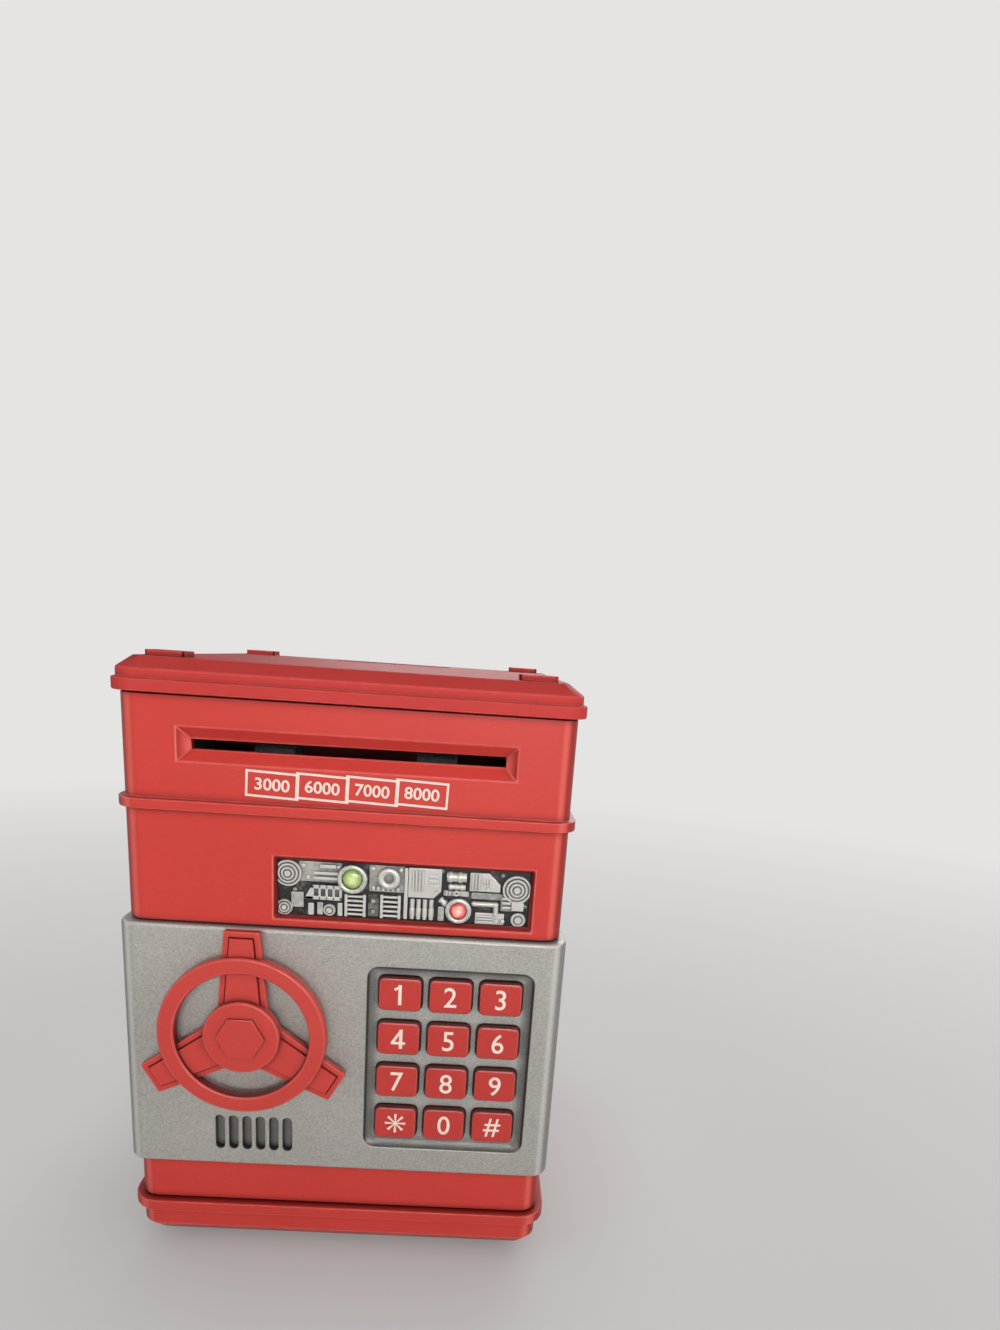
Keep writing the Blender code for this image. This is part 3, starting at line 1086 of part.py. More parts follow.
def make_lamps():
    for name, place, radius, material in lamp_list():
        dome = radius / 2
        straight = RELIEF_RISE + RELIEF_PLATE
        flange_top = -SEAT_GAP
        profile = [(0.0, straight + dome)]
        for step in range(1, CORNER_STEPS + 1):
            angle = math.pi / 2 * step / CORNER_STEPS
            profile.append((radius * math.sin(angle), straight + dome * math.cos(angle)))
        profile += [
            (radius, flange_top), (radius + LAMP_FLANGE, flange_top), (radius + LAMP_FLANGE, -LAMP_LENGTH),
            (0.0, -LAMP_LENGTH),
        ]
        lamp = placed(turned(profile, SMALL_STEPS), facing_front(place.x, RELIEF_REAR_Y, place.z))
        finish(lamp, name, material)
    low = (WINDOW_LEFT_X + LAMP_BOARD_MARGIN, LAMP_BOARD_Y, WINDOW_Z)
    high = (WINDOW_RIGHT_X - LAMP_BOARD_MARGIN, LAMP_BOARD_Y + LAMP_BOARD, BULKHEAD_TOP_Z - SEAT_GAP)
    finish(box(low, high), "lamp_board", BOARD)


# Bill feeder
def feeder_screw_x():
    return CHEEK_X + CHEEK_THICKNESS + FEEDER_FOOT_WIDTH / 2


def feeder_screw_z():
    return BULKHEAD_TOP_Z - FEEDER_FOOT_HEIGHT / 2


def make_feeder_frame():
    motor_top = MOTOR_Z + MOTOR_HEIGHT / 2
    deck_z = motor_top + SEAT_GAP
    front_y = FEED_Y - CHEEK_DEPTH / 2
    rear_y = FEED_Y + CHEEK_DEPTH / 2
    foot_y = SEAM_Y + BULKHEAD + SEAT_GAP
    frame = box((-CHEEK_X - FUSE, front_y, deck_z), (CHEEK_X + FUSE, rear_y, deck_z + DECK_THICKNESS))
    for side in (-1, 1):
        inner = side * CHEEK_X
        outer = side * (CHEEK_X + CHEEK_THICKNESS)
        low_x = min(inner, outer)
        high_x = max(inner, outer)
        cheek_top = PINCH_Z + CHEEK_CROWN
        fuse(frame, box((low_x, front_y, BULKHEAD_TOP_Z + SEAT_GAP), (high_x, rear_y, cheek_top)))
        foot_z = BULKHEAD_TOP_Z - FEEDER_FOOT_HEIGHT
        fuse(frame, box((low_x, foot_y, foot_z), (high_x, rear_y, BULKHEAD_TOP_Z + FUSE)))
        foot_end = outer + side * FEEDER_FOOT_WIDTH
        flange_low = (min(inner, foot_end), foot_y, foot_z)
        flange_high = (max(inner, foot_end), foot_y + CHEEK_THICKNESS, BULKHEAD_TOP_Z - SEAT_GAP)
        fuse(frame, box(flange_low, flange_high))
        screw_x = side * feeder_screw_x()
        bore_start = (screw_x, foot_y - PAST, feeder_screw_z())
        bore_end = (screw_x, foot_y + CHEEK_THICKNESS + PAST, feeder_screw_z())
        cut(frame, cylinder(SCREW_RADIUS + SEAT_GAP, bore_start, bore_end, SMALL_STEPS))
        for axis_z in (FEED_Z, PINCH_Z):
            bore = FEED_SHAFT_RADIUS + RUNNING_GAP
            bore_start = (low_x - PAST, FEED_Y, axis_z)
            cut(frame, cylinder(bore, bore_start, (high_x + PAST, FEED_Y, axis_z), SMALL_STEPS))
    bore = MOTOR_SHAFT_RADIUS + RUNNING_GAP
    cut(frame, cylinder(bore, (CHEEK_X - PAST, FEED_Y, MOTOR_Z), (GEAR_X, FEED_Y, MOTOR_Z), SMALL_STEPS))
    finish(frame, "feeder_frame", CREAM)
    for side, name in ((-1, "left"), (1, "right")):
        head_y = foot_y + CHEEK_THICKNESS + SEAT_GAP
        head = (side * feeder_screw_x(), head_y, feeder_screw_z())
        length = head_y - SEAM_Y + FEEDER_SCREW_BITE
        finish(screw(head, (0, -1, 0), length), "feeder_screw_" + name, STEEL)


def gear_outline(teeth, turn):
    """Outline of a spur gear with straight-sided teeth, one tooth's middle at an angle."""
    pitch_radius = GEAR_MODULE * teeth / 2
    tip_radius = pitch_radius + GEAR_ADDENDUM * GEAR_MODULE
    root_radius = pitch_radius - GEAR_DEDENDUM * GEAR_MODULE
    step = 2 * math.pi / teeth
    half = TOOTH_SHARE * step / 2
    lean = math.tan(math.radians(PRESSURE_ANGLE)) * GEAR_MODULE / pitch_radius
    points = []
    for index in range(teeth):
        middle = turn + index * step
        corners = (
            (root_radius, -half - lean * GEAR_DEDENDUM), (tip_radius, -half + lean * GEAR_ADDENDUM),
            (tip_radius, half - lean * GEAR_ADDENDUM), (root_radius, half + lean * GEAR_DEDENDUM),
        )
        for radius, offset in corners:
            points.append((radius * math.cos(middle + offset), radius * math.sin(middle + offset)))
    return points


def make_rollers(feed_pivot, pinch_pivot, motor_pivot):
    end_x = CHEEK_X + CHEEK_THICKNESS
    gear_end_x = GEAR_X + GEAR_WIDTH + FUSE
    rollers = (("feed", FEED_Z, gear_end_x, feed_pivot), ("pinch", PINCH_Z, end_x, pinch_pivot))
    for name, z, right_x, pivot in rollers:
        shaft = cylinder(FEED_SHAFT_RADIUS, (-end_x - FUSE, FEED_Y, z), (right_x, FEED_Y, z), SMALL_STEPS)
        finish(shaft, name + "_shaft", STEEL, pivot, pivot["pivot"])
        for side, side_name in ((-1, "left"), (1, "right")):
            low_x = side * TYRE_X - TYRE_WIDTH / 2
            high_x = side * TYRE_X + TYRE_WIDTH / 2
            tyre = cylinder(TYRE_RADIUS, (low_x, FEED_Y, z), (high_x, FEED_Y, z))
            bore = FEED_SHAFT_RADIUS + SEAT_GAP
            cut(tyre, cylinder(bore, (low_x - PAST, FEED_Y, z), (high_x + PAST, FEED_Y, z), SMALL_STEPS))
            finish(tyre, name + "_tyre_" + side_name, RUBBER, pivot, pivot["pivot"])
    gear_middle_x = GEAR_X + GEAR_WIDTH / 2
    gear = plate(gear_outline(GEAR_TEETH, 0.0), GEAR_WIDTH)
    bore = FEED_SHAFT_RADIUS + SEAT_GAP
    cut(gear, cylinder(bore, (0, 0, -GEAR_WIDTH), (0, 0, GEAR_WIDTH), SMALL_STEPS))
    placed(gear, along_x(gear_middle_x, FEED_Y, FEED_Z))
    finish(gear, "feed_gear", CREAM, feed_pivot, feed_pivot["pivot"])
    half_tooth = math.pi / PINION_TEETH
    pinion = plate(gear_outline(PINION_TEETH, math.pi + half_tooth), GEAR_WIDTH)
    placed(pinion, along_x(gear_middle_x, FEED_Y, MOTOR_Z))
    shaft_start = (CHEEK_X - SEAT_GAP - MOTOR_SHAFT_BITE, FEED_Y, MOTOR_Z)
    fuse(pinion, cylinder(MOTOR_SHAFT_RADIUS, shaft_start, (gear_middle_x, FEED_Y, MOTOR_Z), SMALL_STEPS))
    finish(pinion, "motor_pinion", CREAM, motor_pivot, motor_pivot["pivot"])


def make_feed_motor():
    end_x = CHEEK_X - SEAT_GAP
    low = (end_x - MOTOR_LENGTH, FEED_Y - MOTOR_DEPTH / 2, MOTOR_Z - MOTOR_HEIGHT / 2)
    high = (end_x, FEED_Y + MOTOR_DEPTH / 2, MOTOR_Z + MOTOR_HEIGHT / 2)
    motor = box(low, high, MOTOR_CORNER, 0)
    bore_start = (end_x - MOTOR_SHAFT_BITE - SEAT_GAP, FEED_Y, MOTOR_Z)
    bore = MOTOR_SHAFT_RADIUS + RUNNING_GAP
    cut(motor, cylinder(bore, bore_start, (end_x + PAST, FEED_Y, MOTOR_Z), SMALL_STEPS))
    finish(motor, "feed_motor", STEEL)


# Battery bay and screws
def battery_cover_span(grow):
    """Low and high corners of the battery cover, as (x, y), grown all round."""
    half_x = BAY_WIDTH / 2 + COVER_MARGIN + grow
    low_y = BAY_Y - BAY_LENGTH / 2 - COVER_MARGIN - grow
    high_y = BAY_Y + BAY_LENGTH / 2 + COVER_EAR + grow
    return (-half_x, low_y), (half_x, high_y)


def make_battery_bay():
    half_x = BAY_WIDTH / 2
    front_y = BAY_Y - BAY_LENGTH / 2
    rear_y = BAY_Y + BAY_LENGTH / 2
    low_z = FLOOR_TOP_Z + SEAT_GAP
    high_z = low_z + BAY_HEIGHT
    tub_low = (-half_x - BAY_WALL, front_y - BAY_WALL, low_z)
    tub = box(tub_low, (half_x + BAY_WALL, rear_y + BAY_WALL, high_z + BAY_WALL))
    cut(tub, box((-half_x, front_y, low_z - PAST), (half_x, rear_y, high_z)))
    finish(tub, "battery_box", BLACK)
    contact_top = high_z - SEAT_GAP
    for name, low_y in (("front", front_y + SEAT_GAP), ("rear", rear_y - SEAT_GAP - CONTACT_THICKNESS)):
        contact_low = (-CONTACT_WIDTH / 2, low_y, contact_top - CONTACT_HEIGHT)
        contact_high = (CONTACT_WIDTH / 2, low_y + CONTACT_THICKNESS, contact_top)
        finish(box(contact_low, contact_high), "battery_contact_" + name, STEEL)
    low, high = battery_cover_span(0)
    cover = box((*low, BASE_Z), (*high, BASE_Z + COVER_THICKNESS))
    screw_y = rear_y + COVER_SCREW_OFFSET
    hole = SCREW_RADIUS + SEAT_GAP
    cut(cover, cylinder(hole, (0, screw_y, BASE_Z - PAST), (0, screw_y, FLOOR_TOP_Z + PAST), SMALL_STEPS))
    finish(cover, "battery_cover", RED)
    head = (0, screw_y, BASE_Z - SEAT_GAP)
    finish(screw(head, (0, 0, 1), SCREW_BITE), "battery_cover_screw", STEEL)


def make_screws(door_pivot):
    names = ("left_front", "left_rear", "right_front", "right_rear")
    for name, (x, y) in zip(names, case_screw_places()):
        head_z = BASE_TOP_Z - CASE_SCREW_LAND - SEAT_GAP
        length = CASE_Z + SCREW_BITE - SEAT_GAP - head_z
        finish(screw((x, y, head_z), (0, 0, 1), length), "case_screw_" + name, STEEL)
    names = ("left_lower", "left_upper", "right_lower", "right_upper")
    for name, (x, z) in zip(names, liner_screw_places()):
        made = screw((x, LINER_REAR_Y + SEAT_GAP, z), (0, -1, 0), SCREW_BITE - SEAT_GAP)
        finish(made, "liner_screw_" + name, STEEL, door_pivot, door_pivot["pivot"])


def main():
    door_pivot = pivot_empty("door_pivot", (HINGE_X, HINGE_Y, DOOR_Z))
    wheel_pivot = pivot_empty("wheel_pivot", (WHEEL_X, DOOR_FRONT_Y, WHEEL_Z), door_pivot)
    feed_pivot = pivot_empty("feed_pivot", (0.0, FEED_Y, FEED_Z))
    pinch_pivot = pivot_empty("pinch_pivot", (0.0, FEED_Y, PINCH_Z))
    motor_pivot = pivot_empty("motor_pivot", (GEAR_X, FEED_Y, MOTOR_Z))
    make_base_tray()
    make_rear_shell()
    make_front_shell()
    make_top_cover()
    make_door_shell(door_pivot)
    make_door_liner(door_pivot)
    make_hinge_pins()
    make_hand_wheel(wheel_pivot)
    make_latch_arm(wheel_pivot)
    make_lock(door_pivot)
    make_keys(door_pivot)
    make_key_switches(door_pivot)
    make_speaker(door_pivot)
    make_machine_panel()
    make_lamps()
    make_feeder_frame()
    make_rollers(feed_pivot, pinch_pivot, motor_pivot)
    make_feed_motor()
    make_battery_bay()
    make_screws(door_pivot)


main()
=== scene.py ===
"""Looks of the toy cash machine bank: finishes, modelled surfaces, light and camera.

Metres and degrees, in the part's own frame: the front faces -Y, right is +X and the floor is Z = 0.
"""

import json
import math

import bmesh
import bpy
from mathutils import Matrix, Vector

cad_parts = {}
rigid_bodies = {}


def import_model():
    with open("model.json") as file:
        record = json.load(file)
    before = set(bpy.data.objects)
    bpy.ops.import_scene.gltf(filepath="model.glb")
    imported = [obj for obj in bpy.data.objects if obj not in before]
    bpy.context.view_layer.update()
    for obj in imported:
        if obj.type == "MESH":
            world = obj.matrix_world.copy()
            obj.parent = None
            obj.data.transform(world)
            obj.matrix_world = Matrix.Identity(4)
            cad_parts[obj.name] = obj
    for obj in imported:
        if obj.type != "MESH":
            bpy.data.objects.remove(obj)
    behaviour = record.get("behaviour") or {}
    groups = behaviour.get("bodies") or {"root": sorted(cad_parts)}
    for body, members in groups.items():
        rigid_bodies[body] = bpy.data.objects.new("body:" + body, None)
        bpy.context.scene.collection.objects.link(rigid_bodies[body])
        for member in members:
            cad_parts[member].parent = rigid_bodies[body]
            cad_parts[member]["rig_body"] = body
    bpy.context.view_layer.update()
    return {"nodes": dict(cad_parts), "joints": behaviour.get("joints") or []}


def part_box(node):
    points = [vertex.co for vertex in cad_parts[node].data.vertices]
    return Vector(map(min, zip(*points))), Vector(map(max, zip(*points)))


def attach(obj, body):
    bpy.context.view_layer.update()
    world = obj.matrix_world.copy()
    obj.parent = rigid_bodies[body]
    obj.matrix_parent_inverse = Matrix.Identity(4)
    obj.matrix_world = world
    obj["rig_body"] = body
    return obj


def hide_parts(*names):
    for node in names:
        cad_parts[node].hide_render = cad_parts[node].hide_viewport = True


for left_over in list(bpy.data.objects):
    bpy.data.objects.remove(left_over, do_unlink=True)
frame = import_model()

MM = 0.001
TINY = 0.000002

# Places read from the frame, and the case's walls
DOOR_LOW, DOOR_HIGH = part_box("door_shell")
SHELL_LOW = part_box("front_shell")[0]
WHEEL_LOW, WHEEL_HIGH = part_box("hand_wheel")
PANEL_LOW, PANEL_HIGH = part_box("machine_panel")
COVER_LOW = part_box("battery_cover")[0]
ARM_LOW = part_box("latch_arm")[0]
SPEAKER_LOW, SPEAKER_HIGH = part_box("speaker")
WHEEL_CENTRE = Vector(next(j["pos_m"] for j in frame["joints"] if j["name"] == "wheel_turn"))
DOOR_FACE_Y = DOOR_LOW.y
RIB_PROUD = 1.8 * MM
FRONT_Y = SHELL_LOW.y + RIB_PROUD
FRONT_WALL = 5 * MM
WALL_MIDDLE = RIB_PROUD + 1.2 * MM
HOLLOW_LOW = SHELL_LOW + Vector((WALL_MIDDLE, RIB_PROUD + FRONT_WALL, 0.0))
HOLLOW_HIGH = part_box("rear_shell")[1] - Vector((WALL_MIDDLE, WALL_MIDDLE, 0.0))

# Hand wheel, with distances in front of the door's face
RING_RADIUS = WHEEL_CENTRE.z - WHEEL_LOW.z
RING_WIDTH = 5 * MM
RING_BACK = 3.6 * MM
RING_FRONT = 7.4 * MM
RING_ROUND = 0.8 * MM
SPOKE_LENGTH = WHEEL_HIGH.z - WHEEL_CENTRE.z
SPOKE_START = 6 * MM
SPOKE_ROOT_WIDTH = 14.9 * MM
SPOKE_END_WIDTH = 10.2 * MM
SPOKE_BACK = 3.2 * MM
SPOKE_FRONT = 5.6 * MM
SPOKE_ROUND = 0.4 * MM
SPOKE_BORDER = 1.25 * MM
SPOKE_GROOVE = 0.4 * MM
SPOKE_GROOVE_DEPTH = 0.35 * MM
SPOKE_PANEL_RISE = 0.55 * MM
SPOKE_COUNT = 3
HUB_RADIUS = 11.2 * MM
HUB_FRONT = 8 * MM
HUB_RIM = 3.6 * MM
HUB_BACK = 1.5 * MM
NECK_RADIUS = 8 * MM
HUB_ROUND = 0.7 * MM
HEX_RADIUS = 7.1 * MM
HEX_FRONT = DOOR_FACE_Y - WHEEL_LOW.y
HEX_ROUND = 0.3 * MM
COLLAR_RADIUS = 6.2 * MM
COLLAR_BACK = 0.35 * MM
SHAFT_RADIUS = 4.5 * MM
SHAFT_END = DOOR_FACE_Y - ARM_LOW.y + 0.3 * MM
SPIGOT_RADIUS = 2.8 * MM
SPIGOT_END = DOOR_FACE_Y - WHEEL_HIGH.y
SPIGOT_BORE = 1.6 * MM
SPIGOT_BORE_DEPTH = 8 * MM
WHEEL_STEPS = 96

# Keys
KEYPAD_MARGIN = Vector((2.75, 0.0, 2.75)) * MM
KEYPAD_DEPTH = 2.3 * MM
# How far in from the keypad's edge its painted shade reaches
KEYPAD_SHADE = 4 * MM
KEY_MARKS = {
    "key_1": "1", "key_2": "2", "key_3": "3", "key_4": "4", "key_5": "5", "key_6": "6",
    "key_7": "7", "key_8": "8", "key_9": "9", "key_star": "*", "key_0": "0", "key_hash": "#",
}
KEY_FLANGE = 1 * MM
KEY_FLANGE_MARGIN = 0.65 * MM
KEY_FLANGE_ROUND = 0.2 * MM
KEY_CORNER = 1.8 * MM
KEY_ROUND = 0.6 * MM
KEY_CROWN = 0.12 * MM
KEY_SHOULDER = 0.7 * MM
MARK_HEIGHT = 6.4 * MM
MARK_DEPTH = 0.12 * MM
MARK_PROUD = 0.03 * MM
MARK_BOLD = 0.006
MARK_WIDEN = 0.94
STROKE_STEP = 0.05 * MARK_DEPTH
STAR_RADIUS = 3.2 * MM
STAR_WAIST = 0.55 * MM
STAR_OVERLAP = 0.7
STAR_ARM_END = 0.84 * MM
STAR_ARMS = 8
STROKE = 1.0 * MM
ONE_FLAG = 2.2 * MM
ONE_FLAG_SHARE = 0.8
ONE_FLAG_DROP = 28
FOUR_BAR_SHARE = 0.84
FOUR_STEM_X = 0.75 * MM
FOUR_BAR_Y = -1.35 * MM
FOUR_LEFT = -2.2 * MM
FOUR_RIGHT = 2.1 * MM
HASH_STROKE = 0.74 * MM
HASH_STEM_X = 1.1 * MM
HASH_BAR_Y = 0.95 * MM
HASH_HALF_WIDTH = 2.5 * MM
HASH_LEAN = 0.2

KEYPAD_LOW = Vector([min(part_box(key)[0][axis] for key in KEY_MARKS) for axis in range(3)]) - KEYPAD_MARGIN
KEYPAD_HIGH = Vector([max(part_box(key)[1][axis] for key in KEY_MARKS) for axis in range(3)]) + KEYPAD_MARGIN

# Print on the front above the belt rib
CARD_NUMBERS = ("3000", "6000", "7000", "8000")
CARD_WIDTH = 15.0 * MM
CARD_HEIGHT = 7.6 * MM
CARD_PITCH = 14.0 * MM
CARD_BORDER = 0.66 * MM
CARD_TILT = 2.2
CARD_FIGURE_HEIGHT = 3.5 * MM
CARD_FIGURE_BOLD = 0.02
CARD_FIGURE_WIDEN = 1.06
CARD_Z = 153.6 * MM
CARD_DEPTH = 0.06 * MM
CARD_SUNK = 0.01 * MM

# Points of a figure's outline closer than this are one, in the font's own units
FIGURE_FUSE = 0.0002

# Window machinery: the plate's front, and the window's lower left corner
WINDOW_MARGIN = 2 * MM
WINDOW_SILL = 0.2 * MM
WINDOW_BEVEL = 1.25 * MM
RELIEF_Y = PANEL_LOW.y + 1.6 * MM
RELIEF_CREST_Y = PANEL_LOW.y
RELIEF_ROUND = 0.16 * MM
BROAD_ROUND = 0.2 * MM
FIN_ROUND = 0.14 * MM
FINE_ROUND = 0.12 * MM
ROUND_STEPS = 40
BAR_STEPS = 28
BOLT_RADIUS = 0.62 * MM
BOLT_RISE = 0.5 * MM
PIPE_STEPS = 16
RIM_STEPS = 8
LENS_FRONT_Y = PANEL_LOW.y - 1 * MM
LENS_MARGIN = 0.95 * MM
LENS_FLANGE_FRONT = 4.7 * MM
LENS_DOME_SHARE = 0.36
LENS_STEPS = 8
BEZEL_FRONT_Y = PANEL_LOW.y - 0.7 * MM
BEZEL_MARGIN = 0.6 * MM
BEZEL_GAP = 0.05 * MM
WINDOW_LEFT = PANEL_LOW.x + WINDOW_MARGIN
WINDOW_FOOT = PANEL_LOW.z + WINDOW_SILL
WINDOW_LOW = Vector((WINDOW_LEFT, 0.0, WINDOW_FOOT))
WINDOW_HIGH = PANEL_HIGH - Vector((WINDOW_MARGIN, 0.0, WINDOW_MARGIN))

# Thumb grip on the battery cover
GRIP_RIDGES = 5
GRIP_START = 6 * MM
GRIP_PITCH = 2.2 * MM
GRIP_RADIUS = 0.6 * MM
GRIP_HALF_LENGTH = 8 * MM
GRIP_ROUND = 0.2 * MM

# Floor that curves up into a backdrop, in metres
STAGE_HALF_WIDTH = 3.0
STAGE_FRONT = -2.5
STAGE_BACK = 1.6
STAGE_BEND = 0.6
STAGE_RISE = 2.4

# Camera at the photograph's viewing angle
CAMERA_PLACE = Vector((36.2, -283.7, 193.7)) * MM
CAMERA_RIGHT = 2.05
CAMERA_DOWN = 14.58
CAMERA_ROLL = 3.92
CAMERA_LENS = 22
CAMERA_RAISE = 0.15
SENSOR = 36

# Share of its own plain colour that the floor shows under the part's shadow
FLOOR_LIFT = 0.55

# How far from a corner or gap painted shade begins, and how far from the part the floor's painted contact
# shadow reaches
CREASE_SHADE_REACH = 3 * MM
FLOOR_SHADOW_REACH = 60 * MM

# Share of a plastic's deep colour that is left where its painted shade is deepest
PAINTED_SHADE_SHARE = 0.12


# Shader nodes
def paint(red, green, blue):
    """A colour written as it shows on a screen, 0 to 255, turned into the shader's scale."""

    def plain(level):
        share = level / 255
        return share / 12.92 if share <= 0.04045 else ((share + 0.055) / 1.055) ** 2.4

    return plain(red), plain(green), plain(blue), 1.0


PALE = paint(229, 228, 227)
ROOM_SIDES = (0.27, 0.28, 0.3, 1.0)
ROOM_CEILING = (0.05, 0.05, 0.055, 1.0)


class Value:
    """A number that changes over a surface. Its operators add the nodes that work it out."""

    def __init__(self, finish, socket):
        self.finish = finish
        self.socket = socket

    def maths(self, operation, *terms, clamp=False):
        settings = {"operation": operation, "use_clamp": clamp}
        return self.finish.node("ShaderNodeMath", settings, dict(enumerate(terms)))

    def __add__(self, other):
        return self.maths("ADD", self, other)

    def __radd__(self, other):
        return self.maths("ADD", other, self)

    def __sub__(self, other):
        return self.maths("SUBTRACT", self, other)

    def __rsub__(self, other):
        return self.maths("SUBTRACT", other, self)

    def __mul__(self, other):
        return self.maths("MULTIPLY", self, other)

    def __rmul__(self, other):
        return self.maths("MULTIPLY", other, self)

    def __truediv__(self, other):
        return self.maths("DIVIDE", self, other)

    def __rtruediv__(self, other):
        return self.maths("DIVIDE", other, self)

    def above(self, level, fade):
        """0 below a level and 1 above it, with a soft step as wide as given."""
        return self.maths("MULTIPLY", self - (level - fade / 2), 1 / fade, clamp=True)

    def held(self):
        """Kept between 0 and 1."""
        return self.maths("ADD", self, 0.0, clamp=True)

    def size(self):
        return self.maths("ABSOLUTE", self)

    def larger(self, other):
        return self.maths("MAXIMUM", self, other)


class Finish:
    """A node material. Constants go straight to the shader's sockets, and what varies is fed to them."""

    def __init__(self, name, **constants):
        self.material = bpy.data.materials.new(name)
        self.material.use_nodes = True
        self.tree = self.material.node_tree
        self.shader = self.tree.nodes["Principled BSDF"]
        for socket, value in constants.items():
            self.feed(socket.replace("_", " "), value)

    def plug(self, socket, value):
        if isinstance(value, Value):
            self.tree.links.new(value.socket, socket)
        else:
            socket.default_value = value

    def node(self, kind, settings=None, sockets=None, output=0):
        made = self.tree.nodes.new(kind)
        for setting, value in (settings or {}).items():
            setattr(made, setting, value)
        for socket, value in (sockets or {}).items():
            self.plug(made.inputs[socket], value)
        return Value(self, made.outputs[output])

    def feed(self, socket, value):
        self.plug(self.shader.inputs[socket], value)

    def place(self):
        return self.node("ShaderNodeTexCoord", output="Object")

    def axis(self, place, letter):
        return self.node("ShaderNodeSeparateXYZ", None, {0: place}, letter)

    def moved(self, place, shift=(0, 0, 0), stretch=(1, 1, 1)):
        return self.node("ShaderNodeMapping", None, {"Vector": place, "Location": shift, "Scale": stretch})

    def blend(self, first, second, share):
        sockets = {0: share, 6: first, 7: second}
        return self.node("ShaderNodeMix", {"data_type": "RGBA"}, sockets, 2)

    def noise(self, place, size, detail, contrast):
        """Clouds about as large as a size, from 0 to 1 round a middle of a half."""
        sockets = {"Vector": place, "Scale": 1 / size, "Detail": detail, "Roughness": 0.55}
        clouds = self.node("ShaderNodeTexNoise", None, sockets)
        return ((clouds - 0.5) * contrast + 0.5).held()

    def cells(self, place, size):
        """A different number from 0 to 1 for each small cell."""
        sockets = {"Vector": place, "Scale": 1 / size}
        colour = self.node("ShaderNodeTexVoronoi", None, sockets, "Color")
        return self.node("ShaderNodeSeparateColor", None, {0: colour}, 0)

    def wear_and_sheen(self, place):
        """Edge wear that also stands in for a painted highlight: the rounded edges, broken up by clouds."""
        edge = self.node("ShaderNodeAttribute", {"attribute_name": "edge"}, output="Fac")
        return edge * (0.35 + self.noise(place, 3 * MM, 3, 2.4) * 0.65)

    def scuffs(self, place):
        """A few thin hairlines, mostly level."""
        long = self.moved(place, stretch=(0.12, 1.0, 1.0))
        lines = self.noise(long, 0.5 * MM, 1, 1.0)
        patches = self.noise(place, 9 * MM, 2, 2.5)
        return lines.above(0.66, 0.06) * patches.above(0.6, 0.3)

    def seen_rays(self):
        """1 for what the camera sees, directly or in metal and glass, and 0 for light on the part."""
        rays = self.node("ShaderNodeLightPath", output="Is Camera Ray")
        for kind in ("Is Glossy Ray", "Is Transmission Ray"):
            rays = rays + self.node("ShaderNodeLightPath", output=kind)
        return rays.held()

    def crease_shade(self, reach):
        """Ambient occlusion as a share of painted shade: 1 deep in corners and gaps, and 0 where nothing
        stands closer than a reach.
        """
        return 1 - self.node("ShaderNodeAmbientOcclusion", {"samples": 8}, {"Distance": reach}, "AO")

    def outside(self, place, low, high):
        """How far a place lies outside an upright rectangle, less than 0 inside it."""
        middle = (low + high) / 2
        half = (high - low) / 2
        beside = (self.axis(place, "X") - middle.x).size() - half.x
        above = (self.axis(place, "Z") - middle.z).size() - half.z
        return beside.larger(above)

    def painted_corner_light(self):
        """Painted highlight and painted shade on the upright rounded corners at the front: where they would
        catch the light, and where they would turn away from it.
        """
        normal = self.node("ShaderNodeTexCoord", output="Normal")
        sideways = self.axis(normal, "X").size()
        ahead = (0 - self.axis(normal, "Y")).above(0.12, 0.1)
        caught = sideways.above(0.3, 0.16) * (1 - sideways.above(0.56, 0.16)) * ahead
        turned_away = sideways.above(0.66, 0.16) * ahead
        return caught, turned_away

    def cover(self, other, share):
        """Lays another shader over this finish by a share."""
        own = Value(self, self.shader.outputs[0])
        mixed = self.node("ShaderNodeMixShader", None, {0: share, 1: own, 2: other})
        self.plug(self.tree.nodes["Material Output"].inputs["Surface"], mixed)

    def grain(self, height, depth, strength):
        sockets = {"Height": height, "Distance": depth, "Strength": strength}
        self.feed("Normal", self.node("ShaderNodeBump", None, sockets))


class Sky(Finish):
    """The room round the part: it lights from the sides more than from above, and shows plain and pale."""

    def __init__(self, name):
        self.world = bpy.data.worlds.new(name)
        self.world.use_nodes = True
        self.tree = self.world.node_tree
        self.shader = self.tree.nodes["Background"]
        up = self.axis(self.node("ShaderNodeTexCoord", output="Generated"), "Z")
        light = self.blend(ROOM_SIDES, ROOM_CEILING, up.above(0.3, 0.5))
        self.feed("Color", self.blend(light, PALE, self.seen_rays()))


# Finishes
def key_side_shade(finish, place):
    """Painted shade on the sides of the keys, behind their fronts."""
    return (finish.axis(place, "Y") - KEYPAD_LOW.y).above(0.19 * MM, 0.14 * MM) * 0.88


def case_recess_shade(finish, place):
    """Painted shade on the sloping edge round the window, and in the hollow behind the walls."""
    depth = finish.axis(place, "Y")
    sunk = depth - FRONT_Y
    window = 1 - finish.outside(place, WINDOW_LOW, WINDOW_HIGH).above(0.1 * MM, 0.2 * MM)
    edge = window * sunk.above(0.3 * MM, 0.3 * MM) * (1 - sunk.above(4 * MM, 0.5 * MM))
    hollow = 1 - finish.outside(place, HOLLOW_LOW, HOLLOW_HIGH).above(0, 0.3 * MM)
    hollow = hollow * (depth - HOLLOW_LOW.y).above(0, MM) * (HOLLOW_HIGH.y - depth).above(0, 0.3 * MM)
    return (edge * 0.75 + hollow * 0.7).held()


